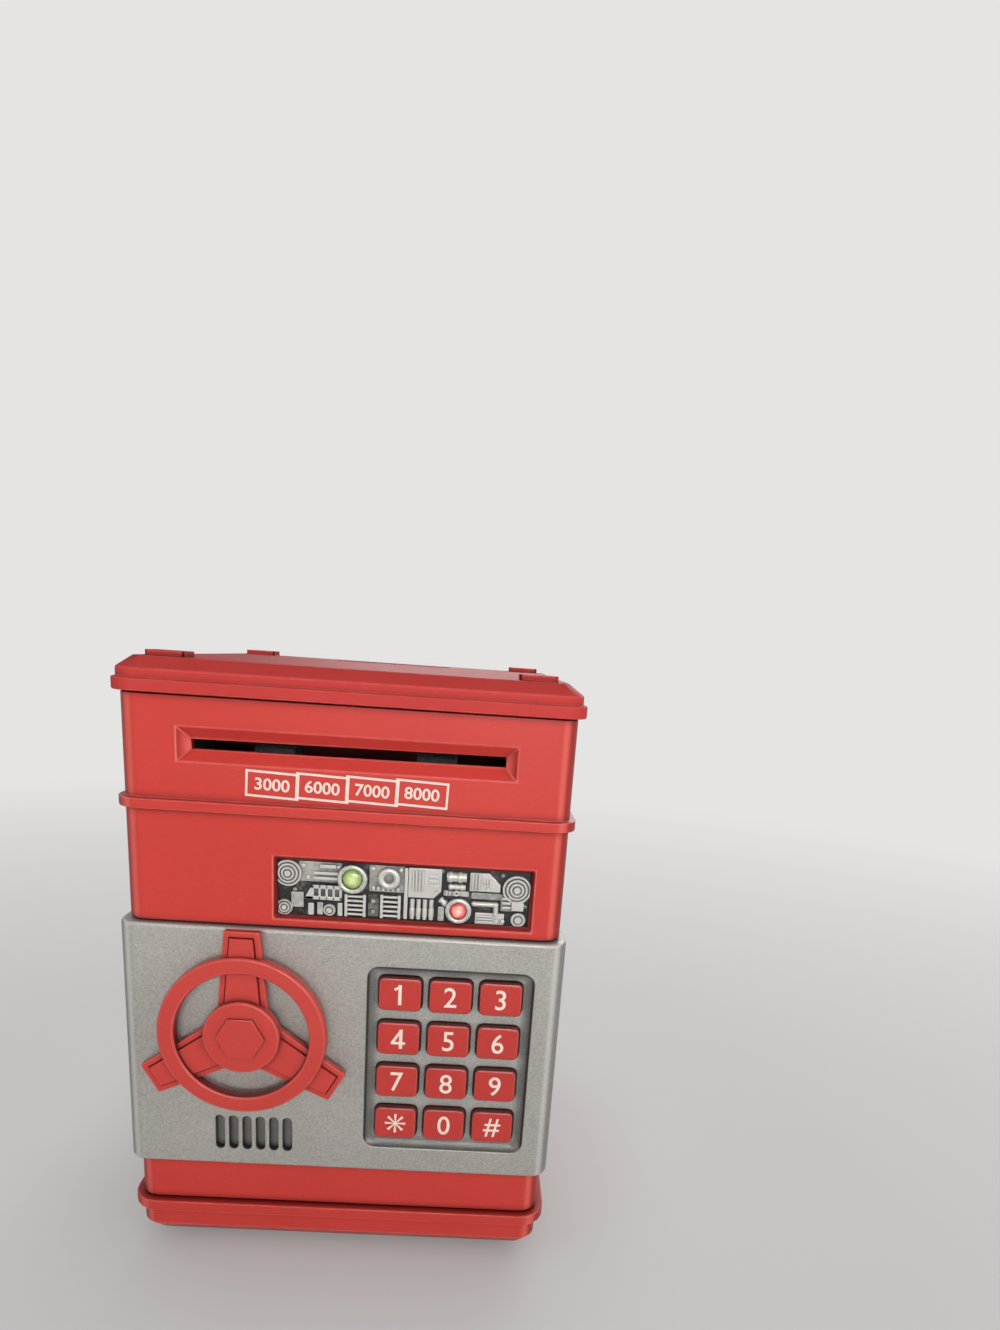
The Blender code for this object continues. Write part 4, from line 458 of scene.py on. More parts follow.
def moulded(name, body, deep, wear_and_sheen_tint, roughness, grain_size=0.45 * MM, shade=None, corners=0.0, **constants):
    """Moulded plastic: slow drift of the pigment, fine mould grain, edge wear that doubles as a painted
    highlight, faint scuffs, and painted shade in corners and gaps.

    Where a shade is given, that share of a place gets painted shade. Corners is how much painted highlight
    and painted shade its front corners get.
    """
    finish = Finish(name, **constants)
    place = finish.place()
    drift = finish.noise(place, 45 * MM, 2, 1.6)
    mottle = finish.noise(place, 1.6 * MM, 3, 1.4)
    wear_and_sheen = finish.wear_and_sheen(place)
    scuffs = finish.scuffs(place)
    colour = finish.blend(deep, body, drift * 0.62 + mottle * 0.38)
    caught, turned_away = finish.painted_corner_light()
    # Edge wear and scuffs, and a painted highlight on the front corners
    lighter = wear_and_sheen * 0.5 + scuffs * 0.1 + caught * (0.5 * corners)
    colour = finish.blend(colour, wear_and_sheen_tint, lighter.held())
    # Painted shade: on faces marked as shaded, on front corners turned away from the light, where a shade is
    # given, and in corners and gaps
    painted_shade_colour = [level * PAINTED_SHADE_SHARE for level in deep[:3]] + [1.0]
    walls = finish.node("ShaderNodeAttribute", {"attribute_name": "shade"}, output="Fac")
    colour = finish.blend(colour, painted_shade_colour, (walls * 0.75 + turned_away * (0.5 * corners)).held())
    if shade:
        colour = finish.blend(colour, painted_shade_colour, shade(finish, place))
    colour = finish.blend(colour, painted_shade_colour, finish.crease_shade(CREASE_SHADE_REACH).above(0.32, 0.52) * 0.92)
    finish.feed("Base Color", colour)
    finish.feed("Roughness", roughness + (mottle - 0.5) * 0.1 + scuffs * 0.1 - wear_and_sheen * 0.06)
    finish.grain(finish.noise(place, grain_size, 2, 1.5), 0.02 * MM, 0.55)
    return finish.material


def flake_silver(name):
    """Silver plastic with a metal fleck: each fleck has its own brightness, gloss and lean. Its edge wear
    and front corners carry a painted highlight, and painted shade lies in the keypad recess, the key gaps,
    the grille slots and in corners and gaps.
    """
    finish = Finish(name, Metallic=0.3)
    place = finish.place()
    fleck = finish.cells(place, 0.42 * MM)
    dust = finish.cells(finish.moved(place, (0.013, 0.007, 0.021)), 0.22 * MM)
    drift = finish.noise(place, 30 * MM, 2, 1.5)
    wear_and_sheen = finish.wear_and_sheen(place)
    speckle = fleck * 0.55 + dust * 0.45
    colour = finish.blend(paint(144, 141, 135), paint(194, 190, 183), speckle * 0.8 + drift * 0.2)
    caught, turned_away = finish.painted_corner_light()
    sunk = finish.axis(place, "Y") - DOOR_FACE_Y
    keypad = finish.outside(place, KEYPAD_LOW, KEYPAD_HIGH)
    away = keypad.above(MM, MM)
    # Edge wear, and a painted highlight on the front corners, away from the keypad
    lighter = (wear_and_sheen * away * 0.6 + caught * away * 0.6).held()
    colour = finish.blend(colour, paint(212, 210, 205), lighter)
    # Painted shade on the keypad recess's walls, in the gaps round the keys and in the grille slots
    walls = keypad.above(-KEYPAD_SHADE / 2, KEYPAD_SHADE) * sunk.above(0.12 * MM, 0.16 * MM) * 0.92
    gaps = sunk.above(KEYPAD_DEPTH + 0.35 * MM, 0.4 * MM) * 0.85
    grille = finish.outside(place, SPEAKER_LOW, SPEAKER_HIGH)
    slots = (1 - grille.above(0, 0.4 * MM)) * sunk.above(0.5 * MM, 0.6 * MM) * 0.7
    shade = (1 - keypad.above(0.6 * MM, 0.4 * MM)) * (walls + gaps) + slots
    # Painted shade in corners and gaps, and on front corners that turn away from the light
    crease_shade = finish.crease_shade(CREASE_SHADE_REACH).above(0.5, 0.7) * 0.85
    colour = finish.blend(colour, paint(52, 51, 48), (shade + crease_shade + turned_away * 0.4).held())
    finish.feed("Base Color", colour)
    finish.feed("Roughness", 0.36 + fleck * 0.16 + finish.scuffs(place) * 0.12)
    finish.grain(speckle, 0.012 * MM, 0.6)
    return finish.material


def relief_with_painted_shade(name):
    """Cast silver: painted shade in the low places and in corners and gaps, with edge wear on the high
    places that doubles as a painted highlight.
    """
    finish = Finish(name, Metallic=0.2)
    place = finish.place()
    height = (RELIEF_Y - finish.axis(place, "Y")) / (RELIEF_Y - RELIEF_CREST_Y)
    blotch = finish.noise(place, 1.4 * MM, 3, 1.8)
    patches = finish.noise(place, 9 * MM, 2, 2.2)
    # Painted shade: low places dark and high places light, broken up by clouds
    lit = (height + (blotch - 0.5) * 0.3 + (patches - 0.5) * 0.34).above(0.38, 0.66)
    wear_and_sheen = finish.wear_and_sheen(place)
    colour = finish.blend(paint(26, 25, 24), paint(204, 201, 194), lit)
    # Edge wear on the high places, which doubles as a painted highlight
    colour = finish.blend(colour, paint(228, 226, 220), wear_and_sheen * lit * 0.85)
    # Painted shade in corners and gaps
    colour = finish.blend(colour, paint(16, 16, 15), finish.crease_shade(1.4 * MM).above(0.5, 0.8) * 0.85)
    finish.feed("Base Color", colour)
    finish.feed("Roughness", 0.5 - lit * 0.16 + (blotch - 0.5) * 0.12)
    finish.grain(finish.noise(place, 0.35 * MM, 2, 1.5), 0.02 * MM, 0.5)
    return finish.material


def lens(name, node, core, body, rim, glow):
    """A coloured lens lit from behind: bright in the middle, deep at its rim."""
    low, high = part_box(node)
    middle = (low + high) / 2
    radius = (high.x - low.x) / 2
    finish = Finish(name, Emission_Strength=glow, Roughness=0.12)
    place = finish.place()
    flat = finish.moved(place, (-middle.x / radius, 0, -middle.z / radius), (1 / radius, 0, 1 / radius))
    out = finish.node("ShaderNodeVectorMath", {"operation": "LENGTH"}, {0: flat}, "Value")
    facets = finish.cells(place, 0.7 * MM)
    spread = out + (facets - 0.5) * 0.14
    colour = finish.blend(core, body, spread.above(0.34, 0.5))
    colour = finish.blend(colour, rim, spread.above(0.74, 0.3))
    finish.feed("Base Color", colour)
    finish.feed("Emission Color", colour)
    finish.grain(facets, 0.03 * MM, 0.4)
    return finish.material


def print_ink(name, body, thin):
    """Screen-printed ink, a little thin in places."""
    finish = Finish(name)
    place = finish.place()
    cover = finish.noise(place, 0.9 * MM, 3, 1.6)
    finish.feed("Base Color", finish.blend(thin, body, cover.above(0.3, 0.5)))
    finish.feed("Roughness", 0.46 + cover * 0.14)
    finish.grain(cover, 0.01 * MM, 0.5)
    return finish.material


def speaker_mesh(name):
    """Fine grey gauze in front of the speaker: threads with dark gaps."""
    finish = Finish(name)
    place = finish.place()
    turn = 2 * math.pi / (0.75 * MM)
    across = finish.axis(place, "X") * turn
    up = finish.axis(place, "Z") * turn
    weave = across.maths("SINE", across) * up.maths("SINE", up) * 0.5 + 0.5
    clouds = finish.noise(place, 4 * MM, 2, 1.5)
    thread = weave.above(0.45, 0.5)
    colour = finish.blend(paint(70, 68, 65), paint(128, 125, 120), thread * 0.8 + clouds * 0.2)
    # Painted shade in corners and gaps
    colour = finish.blend(colour, paint(30, 29, 28), finish.crease_shade(1.8 * MM).above(0.4, 0.5) * 0.9)
    finish.feed("Base Color", colour)
    finish.feed("Roughness", 0.66 + clouds * 0.14)
    finish.grain(weave, 0.06 * MM, 0.6)
    return finish.material


def drawn_steel(name, dull, bright, roughness):
    """Steel with a fine drawn grain and a few dull spots."""
    finish = Finish(name, Metallic=1.0)
    place = finish.place()
    drawn = finish.noise(finish.moved(place, stretch=(1.0, 0.15, 1.0)), 0.3 * MM, 2, 1.8)
    spots = finish.noise(place, 2.5 * MM, 3, 2.0)
    finish.feed("Base Color", finish.blend(dull, bright, drawn * 0.5 + spots * 0.5))
    finish.feed("Roughness", roughness + spots * 0.16 + drawn * 0.08)
    finish.grain(drawn, 0.01 * MM, 0.5)
    return finish.material


def dark_rubber(name):
    finish = Finish(name)
    place = finish.place()
    chalk = finish.noise(place, 1.2 * MM, 4, 2.0)
    finish.feed("Base Color", finish.blend(paint(30, 30, 31), paint(62, 61, 60), chalk.above(0.6, 0.5)))
    finish.feed("Roughness", 0.7 + chalk * 0.2)
    finish.grain(chalk, 0.05 * MM, 0.6)
    return finish.material


def green_board(name):
    """Circuit board: copper tracks under green lacquer."""
    finish = Finish(name)
    place = finish.place()
    tracks = finish.noise(finish.moved(place, stretch=(1.0, 1.0, 0.2)), 1.6 * MM, 0, 2.0)
    pads = finish.cells(place, 2.4 * MM)
    copper = tracks.above(0.56, 0.06) * 0.6 + pads.above(0.9, 0.04) * 0.4
    finish.feed("Base Color", finish.blend(paint(22, 82, 48), paint(70, 132, 74), copper.held()))
    finish.feed("Roughness", 0.34 + copper * 0.1)
    finish.grain(copper, 0.03 * MM, 0.5)
    return finish.material


def pale_sweep(name):
    """The pale studio floor: it takes shadows near the part, darkened further by a painted contact shadow,
    and farther off shows its own plain colour.
    """
    finish = Finish(name)
    place = finish.place()
    clouds = finish.noise(place, 0.25, 2, 1.2)
    finish.feed("Base Color", finish.blend(paint(186, 185, 184), paint(194, 193, 192), clouds))
    finish.feed("Roughness", 0.7 + clouds * 0.08)
    finish.grain(finish.noise(place, 2 * MM, 2, 1.0), 0.02 * MM, 0.3)
    away = finish.node("ShaderNodeVectorMath", {"operation": "LENGTH"}, {0: place}, "Value")
    plain = finish.node("ShaderNodeEmission", None, {"Color": PALE, "Strength": 1.0})
    # Painted contact shadow: less of the plain colour where the part stands close
    lift = FLOOR_LIFT * (1 - finish.crease_shade(FLOOR_SHADOW_REACH) * 0.8)
    finish.cover(plain, finish.seen_rays() * (lift + away.above(0.55, 0.7) * (1 - lift)))
    return finish.material


# Painted shade in the window's edge and the hollow inside, and painted highlight and shade on the front
# corners
RED_CASE = moulded(
    "red_case", paint(213, 71, 63), paint(199, 61, 54), paint(230, 120, 108), 0.42, shade=case_recess_shade,
    corners=1.0, Specular_IOR_Level=0.2,
)
RED_LID = moulded(
    "red_lid", paint(207, 72, 67), paint(193, 62, 58), paint(222, 100, 93), 0.6, Specular_IOR_Level=0.08,
)
RED_WHEEL = moulded("red_wheel", paint(208, 68, 59), paint(196, 58, 50), paint(224, 98, 86), 0.42)
RED_KEY = moulded(
    "red_key", paint(202, 60, 52), paint(188, 50, 44), paint(232, 120, 110), 0.36, 0.6 * MM, key_side_shade,
)
GREY_LINER = moulded("grey_liner", paint(128, 127, 124), paint(114, 113, 110), paint(160, 159, 156), 0.5)
# Dark grey so that the bill slot shows dark: painted shade
DARK_FRAME = moulded("dark_frame", paint(54, 53, 52), paint(44, 43, 42), paint(84, 83, 82), 0.55)
BLACK_TUB = moulded("black_tub", paint(42, 42, 43), paint(34, 34, 35), paint(84, 84, 84), 0.48)
CREAM_NYLON = moulded("cream_nylon", paint(226, 218, 196), paint(212, 203, 180), paint(238, 233, 218), 0.42)
BEZEL_GREY = moulded(
    "bezel_grey", paint(206, 204, 198), paint(186, 184, 178), paint(226, 224, 219), 0.28, Metallic=0.3,
)
SILVER_DOOR = flake_silver("silver_door")
RELIEF = relief_with_painted_shade("relief_with_painted_shade")
MARK_INK = print_ink("cream_ink", paint(250, 230, 212), paint(244, 214, 196))
CARD_INK = print_ink("pale_ink", paint(248, 218, 204), paint(240, 200, 186))
GAUZE = speaker_mesh("speaker_mesh")
STEEL = drawn_steel("bright_steel", paint(150, 150, 150), paint(205, 204, 200), 0.24)
DARK_STEEL = drawn_steel("blackened_steel", paint(40, 40, 42), paint(66, 66, 68), 0.4)
RUBBER = dark_rubber("dark_rubber")
BOARD = green_board("green_board")
GREEN_LENS = lens(
    "green_lens_lit", "green_lamp", paint(214, 224, 164), paint(146, 172, 88), paint(92, 110, 52), 0.16,
)
RED_LENS = lens(
    "red_lens_lit", "red_lamp", paint(254, 208, 196), paint(226, 80, 68), paint(156, 38, 34), 0.22,
)
FINISHES = {
    "red_plastic": RED_CASE, "silver_plastic": SILVER_DOOR, "grey_plastic": GREY_LINER,
    "black_plastic": BLACK_TUB, "rubber": RUBBER, "circuit_board": BOARD, "green_lens": GREEN_LENS,
    "red_lens": RED_LENS, "cream_nylon": CREAM_NYLON, "steel": STEEL,
}


# Mesh tools
def new_part():
    """An empty mesh whose faces can be marked as rounded edges and as walls that get painted shade."""
    build = bmesh.new()
    build.faces.layers.float.new("edge")
    build.faces.layers.float.new("shade")
    return build


def round_over(build, edges, radius, steps=2, marked=True):
    """Rounds edges, and marks the new faces as rounded edges."""
    rounded = bmesh.ops.bevel(
        build, geom=edges, offset=radius, offset_type="OFFSET", segments=steps, profile=0.5,
        affect="EDGES", material=-1, clamp_overlap=False,
    )
    if marked:
        mark = build.faces.layers.float["edge"]
        for face in rounded["faces"]:
            face[mark] = 1.0


def sharp_edges(build, angle=32, shortest=0.0):
    limit = math.radians(angle)
    long_enough = [e for e in build.edges if e.is_manifold and e.calc_length() > shortest]
    return [e for e in long_enough if e.calc_face_angle() > limit]


def level_edges(build, level):
    return [e for e in build.edges if all(abs(v.co.z - level) < TINY for v in e.verts)]


def front_face(build):
    return max(build.faces, key=lambda face: face.calc_center_median().z * 1000 + face.calc_area())


def block(low, high, corner=0.0, edge=0.0, corner_steps=4, edge_steps=2):
    """A box with its upright edges and the rim of its front, at the high z, rounded."""
    build = new_part()
    size = Vector(high) - Vector(low)
    place = Matrix.Translation((Vector(high) + Vector(low)) / 2) @ Matrix.Diagonal((*size, 1.0))
    bmesh.ops.create_cube(build, size=1.0, matrix=place)
    if corner:
        upright = [e for e in build.edges if abs(e.verts[0].co.z - e.verts[1].co.z) > size.z / 2]
        round_over(build, upright, corner, corner_steps, False)
    if edge:
        round_over(build, level_edges(build, high[2]), edge, edge_steps)
    return build


def turned(profile, steps, closed=False):
    """A profile of (radius, z) points turned round the z axis."""
    build = new_part()
    verts = [build.verts.new((radius, 0.0, z)) for radius, z in profile]
    ends = verts[1:] + verts[:1] if closed else verts[1:]
    edges = [build.edges.new(pair) for pair in zip(verts, ends)]
    bmesh.ops.spin(
        build, geom=verts + edges, axis=(0, 0, 1), cent=(0, 0, 0), angle=2 * math.pi, steps=steps,
        use_merge=True, use_duplicate=False,
    )
    bmesh.ops.remove_doubles(build, verts=build.verts, dist=TINY / 10)
    bmesh.ops.recalc_face_normals(build, faces=build.faces)
    return build


def rod(radius, start, end, steps=12, edge=0.0):
    """A round bar between two points."""
    build = new_part()
    run = Vector(end) - Vector(start)
    turn = run.to_track_quat("Z", "Y").to_matrix().to_4x4()
    bmesh.ops.create_cone(
        build, cap_ends=True, segments=steps, radius1=radius, radius2=radius, depth=run.length,
        matrix=Matrix.Translation((Vector(start) + Vector(end)) / 2) @ turn,
    )
    if edge:
        round_over(build, sharp_edges(build, 60), edge, 2)
    return build


def add(build, part, place=Matrix.Identity(4)):
    """Joins a finished part into a piece, at its place."""
    mesh = bpy.data.meshes.new("part")
    part.to_mesh(mesh)
    part.free()
    mesh.transform(place)
    if place.determinant() < 0:
        mesh.flip_normals()
    build.from_mesh(mesh)
    bpy.data.meshes.remove(mesh)


def placed(part, place):
    """A part of its own, moved to its place."""
    build = new_part()
    add(build, part, place)
    return build


def facing(x, y, z):
    """Turns what is drawn in the XY plane so that its z points to the front, and moves it to a place."""
    return Matrix.Translation((x, y, z)) @ Matrix.Rotation(math.radians(90), 4, "X")


def spun(angle):
    return Matrix.Rotation(math.radians(angle), 4, "Z")


def flipped(height):
    """Turns a part of a height top to bottom, so that it still fills the same place."""
    return Matrix.Translation((0.0, height, 0.0)) @ Matrix.Diagonal((1.0, -1.0, 1.0, 1.0))


def in_scene(name, data):
    """A new object in the scene."""
    made = bpy.data.objects.new(name, data)
    bpy.context.scene.collection.objects.link(made)
    return made


def piece(name, build, finish, body, stands_for=(), sharp=40):
    """Makes a named piece that rides on a body, shaded smooth with its flats kept flat."""
    mesh = bpy.data.meshes.new(name)
    build.to_mesh(mesh)
    build.free()
    mesh.materials.append(finish)
    mesh.shade_smooth()
    mesh.set_sharp_from_angle(angle=math.radians(sharp))
    made = in_scene(name, mesh)
    flats = made.modifiers.new("flats", "WEIGHTED_NORMAL")
    flats.keep_sharp = True
    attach(made, body)
    if stands_for:
        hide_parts(*stands_for)


# Pieces whose shape the frame has
def outside_case(edge):
    """True for an edge on the outer side of the case's walls."""
    middle = (edge.verts[0].co + edge.verts[1].co) / 2
    behind_front = HOLLOW_LOW.y < middle.y < 0 and abs(middle.x) < HOLLOW_HIGH.x
    on_sill = behind_front and middle.z < DOOR_LOW.z
    if on_sill:
        return False
    out = middle - (HOLLOW_LOW + HOLLOW_HIGH) / 2
    out.z = 0.0
    normals = sum((face.normal for face in edge.link_faces), Vector())
    return normals.dot(out.normalized()) > 0.05


def seen_on_door(edge):
    """True for an edge at the door's front or on its outline."""
    if all(vert.co.y < DOOR_FACE_Y + MM for vert in edge.verts):
        return True
    inset = Vector((0.1, 0.0, 0.1)) * MM
    low = DOOR_LOW + inset
    high = DOOR_HIGH - inset
    return all(not (low.x < v.co.x < high.x and low.z < v.co.z < high.z) for v in edge.verts)


def softened(node, width, finish=None, chosen=None):
    """A copy of a frame piece with its sharp edges, or the chosen ones, rounded as they leave the mould."""
    source = frame["nodes"][node]
    slot = source.material_slots[0].material.name
    build = bmesh.new()
    build.from_mesh(source.data)
    for face in build.faces:
        face.material_index = 0
    bmesh.ops.remove_doubles(build, verts=build.verts, dist=TINY)
    bmesh.ops.dissolve_limit(build, angle_limit=math.radians(0.5), verts=build.verts, edges=build.edges)
    build.faces.layers.float.new("edge")
    edges = [e for e in sharp_edges(build, shortest=3 * width) if chosen is None or chosen(e)]
    round_over(build, edges, width)
    piece(node + "_form", build, finish or FINISHES[slot], source["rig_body"], (node,), 50)


def make_case_and_door():
    for node, width in (("base_tray", 0.4), ("rear_shell", 0.4), ("front_shell", 0.35)):
        softened(node, width * MM, chosen=outside_case)
    softened("door_shell", 0.3 * MM, chosen=seen_on_door)
    softened("top_cover", 0.4 * MM, RED_LID)
    for node in ("door_liner", "latch_arm", "battery_box", "battery_cover"):
        softened(node, 0.3 * MM)
    # The feeder frame's dark grey is painted shade inside the bill slot
    softened("feeder_frame", 0.3 * MM, DARK_FRAME)
    softened("speaker", 0.3 * MM, GAUZE)


def dress_inner_pieces():
    """Nodes that keep the frame's shape get their finish by the record's slots."""
    for node in frame["nodes"].values():
        for holder in node.material_slots:
            holder.material = FINISHES[holder.material.name]
    for shaft in ("feed_shaft", "pinch_shaft"):
        frame["nodes"][shaft].material_slots[0].material = DARK_STEEL


# Hand wheel
def wheel_ring():
    """The ring, with its inner wall marked for painted shade."""
    inner = RING_RADIUS - RING_WIDTH
    profile = [(inner, RING_BACK), (RING_RADIUS, RING_BACK), (RING_RADIUS, RING_FRONT), (inner, RING_FRONT)]
    ring = turned(profile, WHEEL_STEPS, closed=True)
    round_over(ring, sharp_edges(ring, 60), RING_ROUND, 3)
    shade = ring.faces.layers.float["shade"]
    for face in ring.faces:
        out = face.calc_center_median()
        out.z = 0.0
        if face.normal.dot(out.normalized()) < -0.8:
            face[shade] = 1.0
    return ring


def wheel_spoke():
    """One spoke along +Y: tapered, with a raised panel inside a groove."""
    spoke = new_part()
    for vert in bmesh.ops.create_cube(spoke, size=1.0)["verts"]:
        outer = vert.co.y > 0
        half = (SPOKE_END_WIDTH if outer else SPOKE_ROOT_WIDTH) / 2
        depth = SPOKE_FRONT if vert.co.z > 0 else SPOKE_BACK
        vert.co = (math.copysign(half, vert.co.x), SPOKE_LENGTH if outer else SPOKE_START, depth)
    round_over(spoke, sharp_edges(spoke, 60), SPOKE_ROUND, 2)
    panel = [front_face(spoke)]
    slope = SPOKE_GROOVE / 2
    rise = SPOKE_GROOVE_DEPTH + SPOKE_PANEL_RISE
    for width, depth in ((SPOKE_BORDER, 0.0), (slope, -SPOKE_GROOVE_DEPTH), (slope, rise)):
        bmesh.ops.inset_region(spoke, faces=panel, thickness=width, depth=depth, use_even_offset=True)
    return spoke


def wheel_hub():
    """Hub disc, neck, collar, shaft and screwed spigot, as one turned part."""
    hub = turned([
        (0.0, HUB_FRONT), (HUB_RADIUS, HUB_FRONT), (HUB_RADIUS, HUB_FRONT - HUB_RIM),
        (NECK_RADIUS, HUB_FRONT - HUB_RIM), (NECK_RADIUS, HUB_BACK), (COLLAR_RADIUS, HUB_BACK),
        (COLLAR_RADIUS, COLLAR_BACK), (SHAFT_RADIUS, COLLAR_BACK), (SHAFT_RADIUS, SHAFT_END),
        (SPIGOT_RADIUS, SHAFT_END), (SPIGOT_RADIUS, SPIGOT_END), (SPIGOT_BORE, SPIGOT_END),
        (SPIGOT_BORE, SPIGOT_END + SPIGOT_BORE_DEPTH), (0.0, SPIGOT_END + SPIGOT_BORE_DEPTH),
    ], WHEEL_STEPS)
    rim = [e for e in sharp_edges(hub, 60) if e.verts[0].co.xy.length > NECK_RADIUS + MM]
    round_over(hub, rim, HUB_ROUND, 3)
    return hub


def hub_hexagon():
    """The hub's raised six-sided middle."""
    hexagon = new_part()
    depth = HEX_FRONT - HUB_BACK
    bmesh.ops.create_cone(
        hexagon, cap_ends=True, segments=6, radius1=HEX_RADIUS, radius2=HEX_RADIUS, depth=depth,
        matrix=Matrix.Translation((0, 0, HUB_BACK + depth / 2)) @ spun(30),
    )
    round_over(hexagon, level_edges(hexagon, HEX_FRONT), HEX_ROUND, 2)
    return hexagon


def make_hand_wheel():
    front = facing(WHEEL_CENTRE.x, DOOR_FACE_Y, WHEEL_CENTRE.z)
    piece("wheel_ring", placed(wheel_ring(), front), RED_WHEEL, "wheel", ("hand_wheel",))
    for index in range(SPOKE_COUNT):
        spoke = placed(wheel_spoke(), front @ spun(360 * index / SPOKE_COUNT))
        piece(f"wheel_spoke_{index + 1}", spoke, RED_WHEEL, "wheel")
    piece("wheel_hub", placed(wheel_hub(), front), RED_WHEEL, "wheel")
    piece("wheel_hexagon", placed(hub_hexagon(), front), RED_WHEEL, "wheel")


# Printed figures
def figures(text, height, depth, bold, width):
    """Figures as a thin raised print: centred, with their back at z = 0."""
    curve = bpy.data.curves.new("figures", "FONT")
    curve.body = text
    curve.offset = bold
    curve.extrude = 0.5
    curve.resolution_u = 6
    holder = in_scene("figures", curve)
    graph = bpy.context.evaluated_depsgraph_get()
    mesh = bpy.data.meshes.new_from_object(holder.evaluated_get(graph))
    bpy.data.objects.remove(holder, do_unlink=True)
    build = new_part()
    build.from_mesh(mesh)
    bpy.data.meshes.remove(mesh)
    bmesh.ops.remove_doubles(build, verts=build.verts, dist=FIGURE_FUSE)
    bmesh.ops.recalc_face_normals(build, faces=build.faces)
    low = Vector([min(v.co[axis] for v in build.verts) for axis in range(3)])
    high = Vector([max(v.co[axis] for v in build.verts) for axis in range(3)])
    middle = (low + high) / 2
    grow = height / (high.y - low.y)
    size = Matrix.Diagonal((grow * width, grow, depth, 1.0))
    shift = Matrix.Translation((-middle.x, -middle.y, -low.z))
    bmesh.ops.transform(build, matrix=size @ shift, verts=build.verts)
    return build


def star_mark():
    """A star of wedge arms that meet in the middle."""
    star = new_part()
    start = STAR_WAIST * STAR_OVERLAP
    inner_half = start * math.tan(math.pi / STAR_ARMS)
    for index in range(STAR_ARMS):
        arm = new_part()
        for vert in bmesh.ops.create_cube(arm, size=1.0)["verts"]:
            outer = vert.co.y > 0
            half = STAR_ARM_END / 2 if outer else inner_half
            depth = MARK_DEPTH if vert.co.z > 0 else 0.0
            vert.co = (math.copysign(half, vert.co.x), STAR_RADIUS if outer else start, depth)
        add(star, arm, spun(360 * index / STAR_ARMS))
    corner = STAR_WAIST / math.cos(math.pi / STAR_ARMS)
    middle = rod(corner, (0, 0, 0), (0, 0, MARK_DEPTH - STROKE_STEP), STAR_ARMS)
    add(star, middle, spun(180 / STAR_ARMS))
    return star


def one_mark():
    """A one: an upright stroke with a flag."""
    half = STROKE / 2
    thin = half * ONE_FLAG_SHARE
    top = MARK_HEIGHT / 2
    one = block((-half, -top, 0.0), (half, top, MARK_DEPTH))
    flag = block((-ONE_FLAG, -thin, 0.0), (0.0, thin, MARK_DEPTH - 2 * STROKE_STEP))
    add(one, flag, Matrix.Translation((half * 0.6, top - half, 0.0)) @ spun(ONE_FLAG_DROP))
    return one


def four_mark():
    """A four: a stem, a bar across it and a slanted stroke from the bar's left end to the stem's top."""
    half = STROKE / 2
    thin = half * FOUR_BAR_SHARE
    top = MARK_HEIGHT / 2
    four = block((FOUR_STEM_X - half, -top, 0.0), (FOUR_STEM_X + half, top, MARK_DEPTH))
    bar_top = (FOUR_RIGHT, FOUR_BAR_Y + thin, MARK_DEPTH - STROKE_STEP)
    add(four, block((FOUR_LEFT, FOUR_BAR_Y - thin, 0.0), bar_top))
    start = Vector((FOUR_LEFT + thin * 0.8, FOUR_BAR_Y, 0.0))
    run = Vector((FOUR_STEM_X, top - thin, 0.0)) - start
    slant = block((0.0, -thin, 0.0), (run.length, thin, MARK_DEPTH - 2 * STROKE_STEP))
    add(four, slant, Matrix.Translation(start) @ spun(math.degrees(math.atan2(run.y, run.x))))
    return four


def hash_mark():
    """Two leaning stems with two bars across them."""
    half = HASH_STROKE / 2
    top = MARK_HEIGHT / 2
    made = new_part()
    for side in (-1, 1):
        x = side * HASH_STEM_X
        y = side * HASH_BAR_Y
        add(made, block((x - half, -top, 0.0), (x + half, top, MARK_DEPTH)))
        bar_top = (HASH_HALF_WIDTH, y + half, MARK_DEPTH - STROKE_STEP)
        add(made, block((-HASH_HALF_WIDTH, y - half, 0.0), bar_top))
    for vert in made.verts:
        vert.co.x += HASH_LEAN * vert.co.y
    return made


# Keys
def key_cap(width, height, depth):
    """A key with its flange, its front at z = 0 and a low crown."""
    low = (-width / 2, -height / 2, KEY_FLANGE / 2 - depth)
    high = (width / 2, height / 2, -KEY_CROWN)
    cap = block(low, high, KEY_CORNER, KEY_ROUND, 5, 3)
    crown = [front_face(cap)]
    bmesh.ops.inset_region(cap, faces=crown, thickness=KEY_SHOULDER, depth=KEY_CROWN, use_even_offset=True)
    half_x = width / 2 + KEY_FLANGE_MARGIN
    half_y = height / 2 + KEY_FLANGE_MARGIN
    flange_top = (half_x, half_y, KEY_FLANGE - depth)
    add(cap, block((-half_x, -half_y, -depth), flange_top, KEY_CORNER, KEY_FLANGE_ROUND))
    return cap


def key_mark(mark):
    drawn = {"*": star_mark, "1": one_mark, "4": four_mark, "#": hash_mark}
    if mark in drawn:
        return drawn[mark]()
    return figures(mark, MARK_HEIGHT, MARK_DEPTH, MARK_BOLD, MARK_WIDEN)


def make_keys():
    for node, mark in KEY_MARKS.items():
        low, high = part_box(node)
        width = high.x - low.x - 2 * KEY_FLANGE_MARGIN
        height = high.z - low.z - 2 * KEY_FLANGE_MARGIN
        front = facing((low.x + high.x) / 2, low.y, (low.z + high.z) / 2)
        cap = placed(key_cap(width, height, high.y - low.y), front)
        piece(node + "_cap", cap, RED_KEY, node + "_button", (node,))
        printed = placed(key_mark(mark), front @ Matrix.Translation((0, 0, MARK_PROUD - MARK_DEPTH)))
        piece(node + "_mark", printed, MARK_INK, node + "_button")


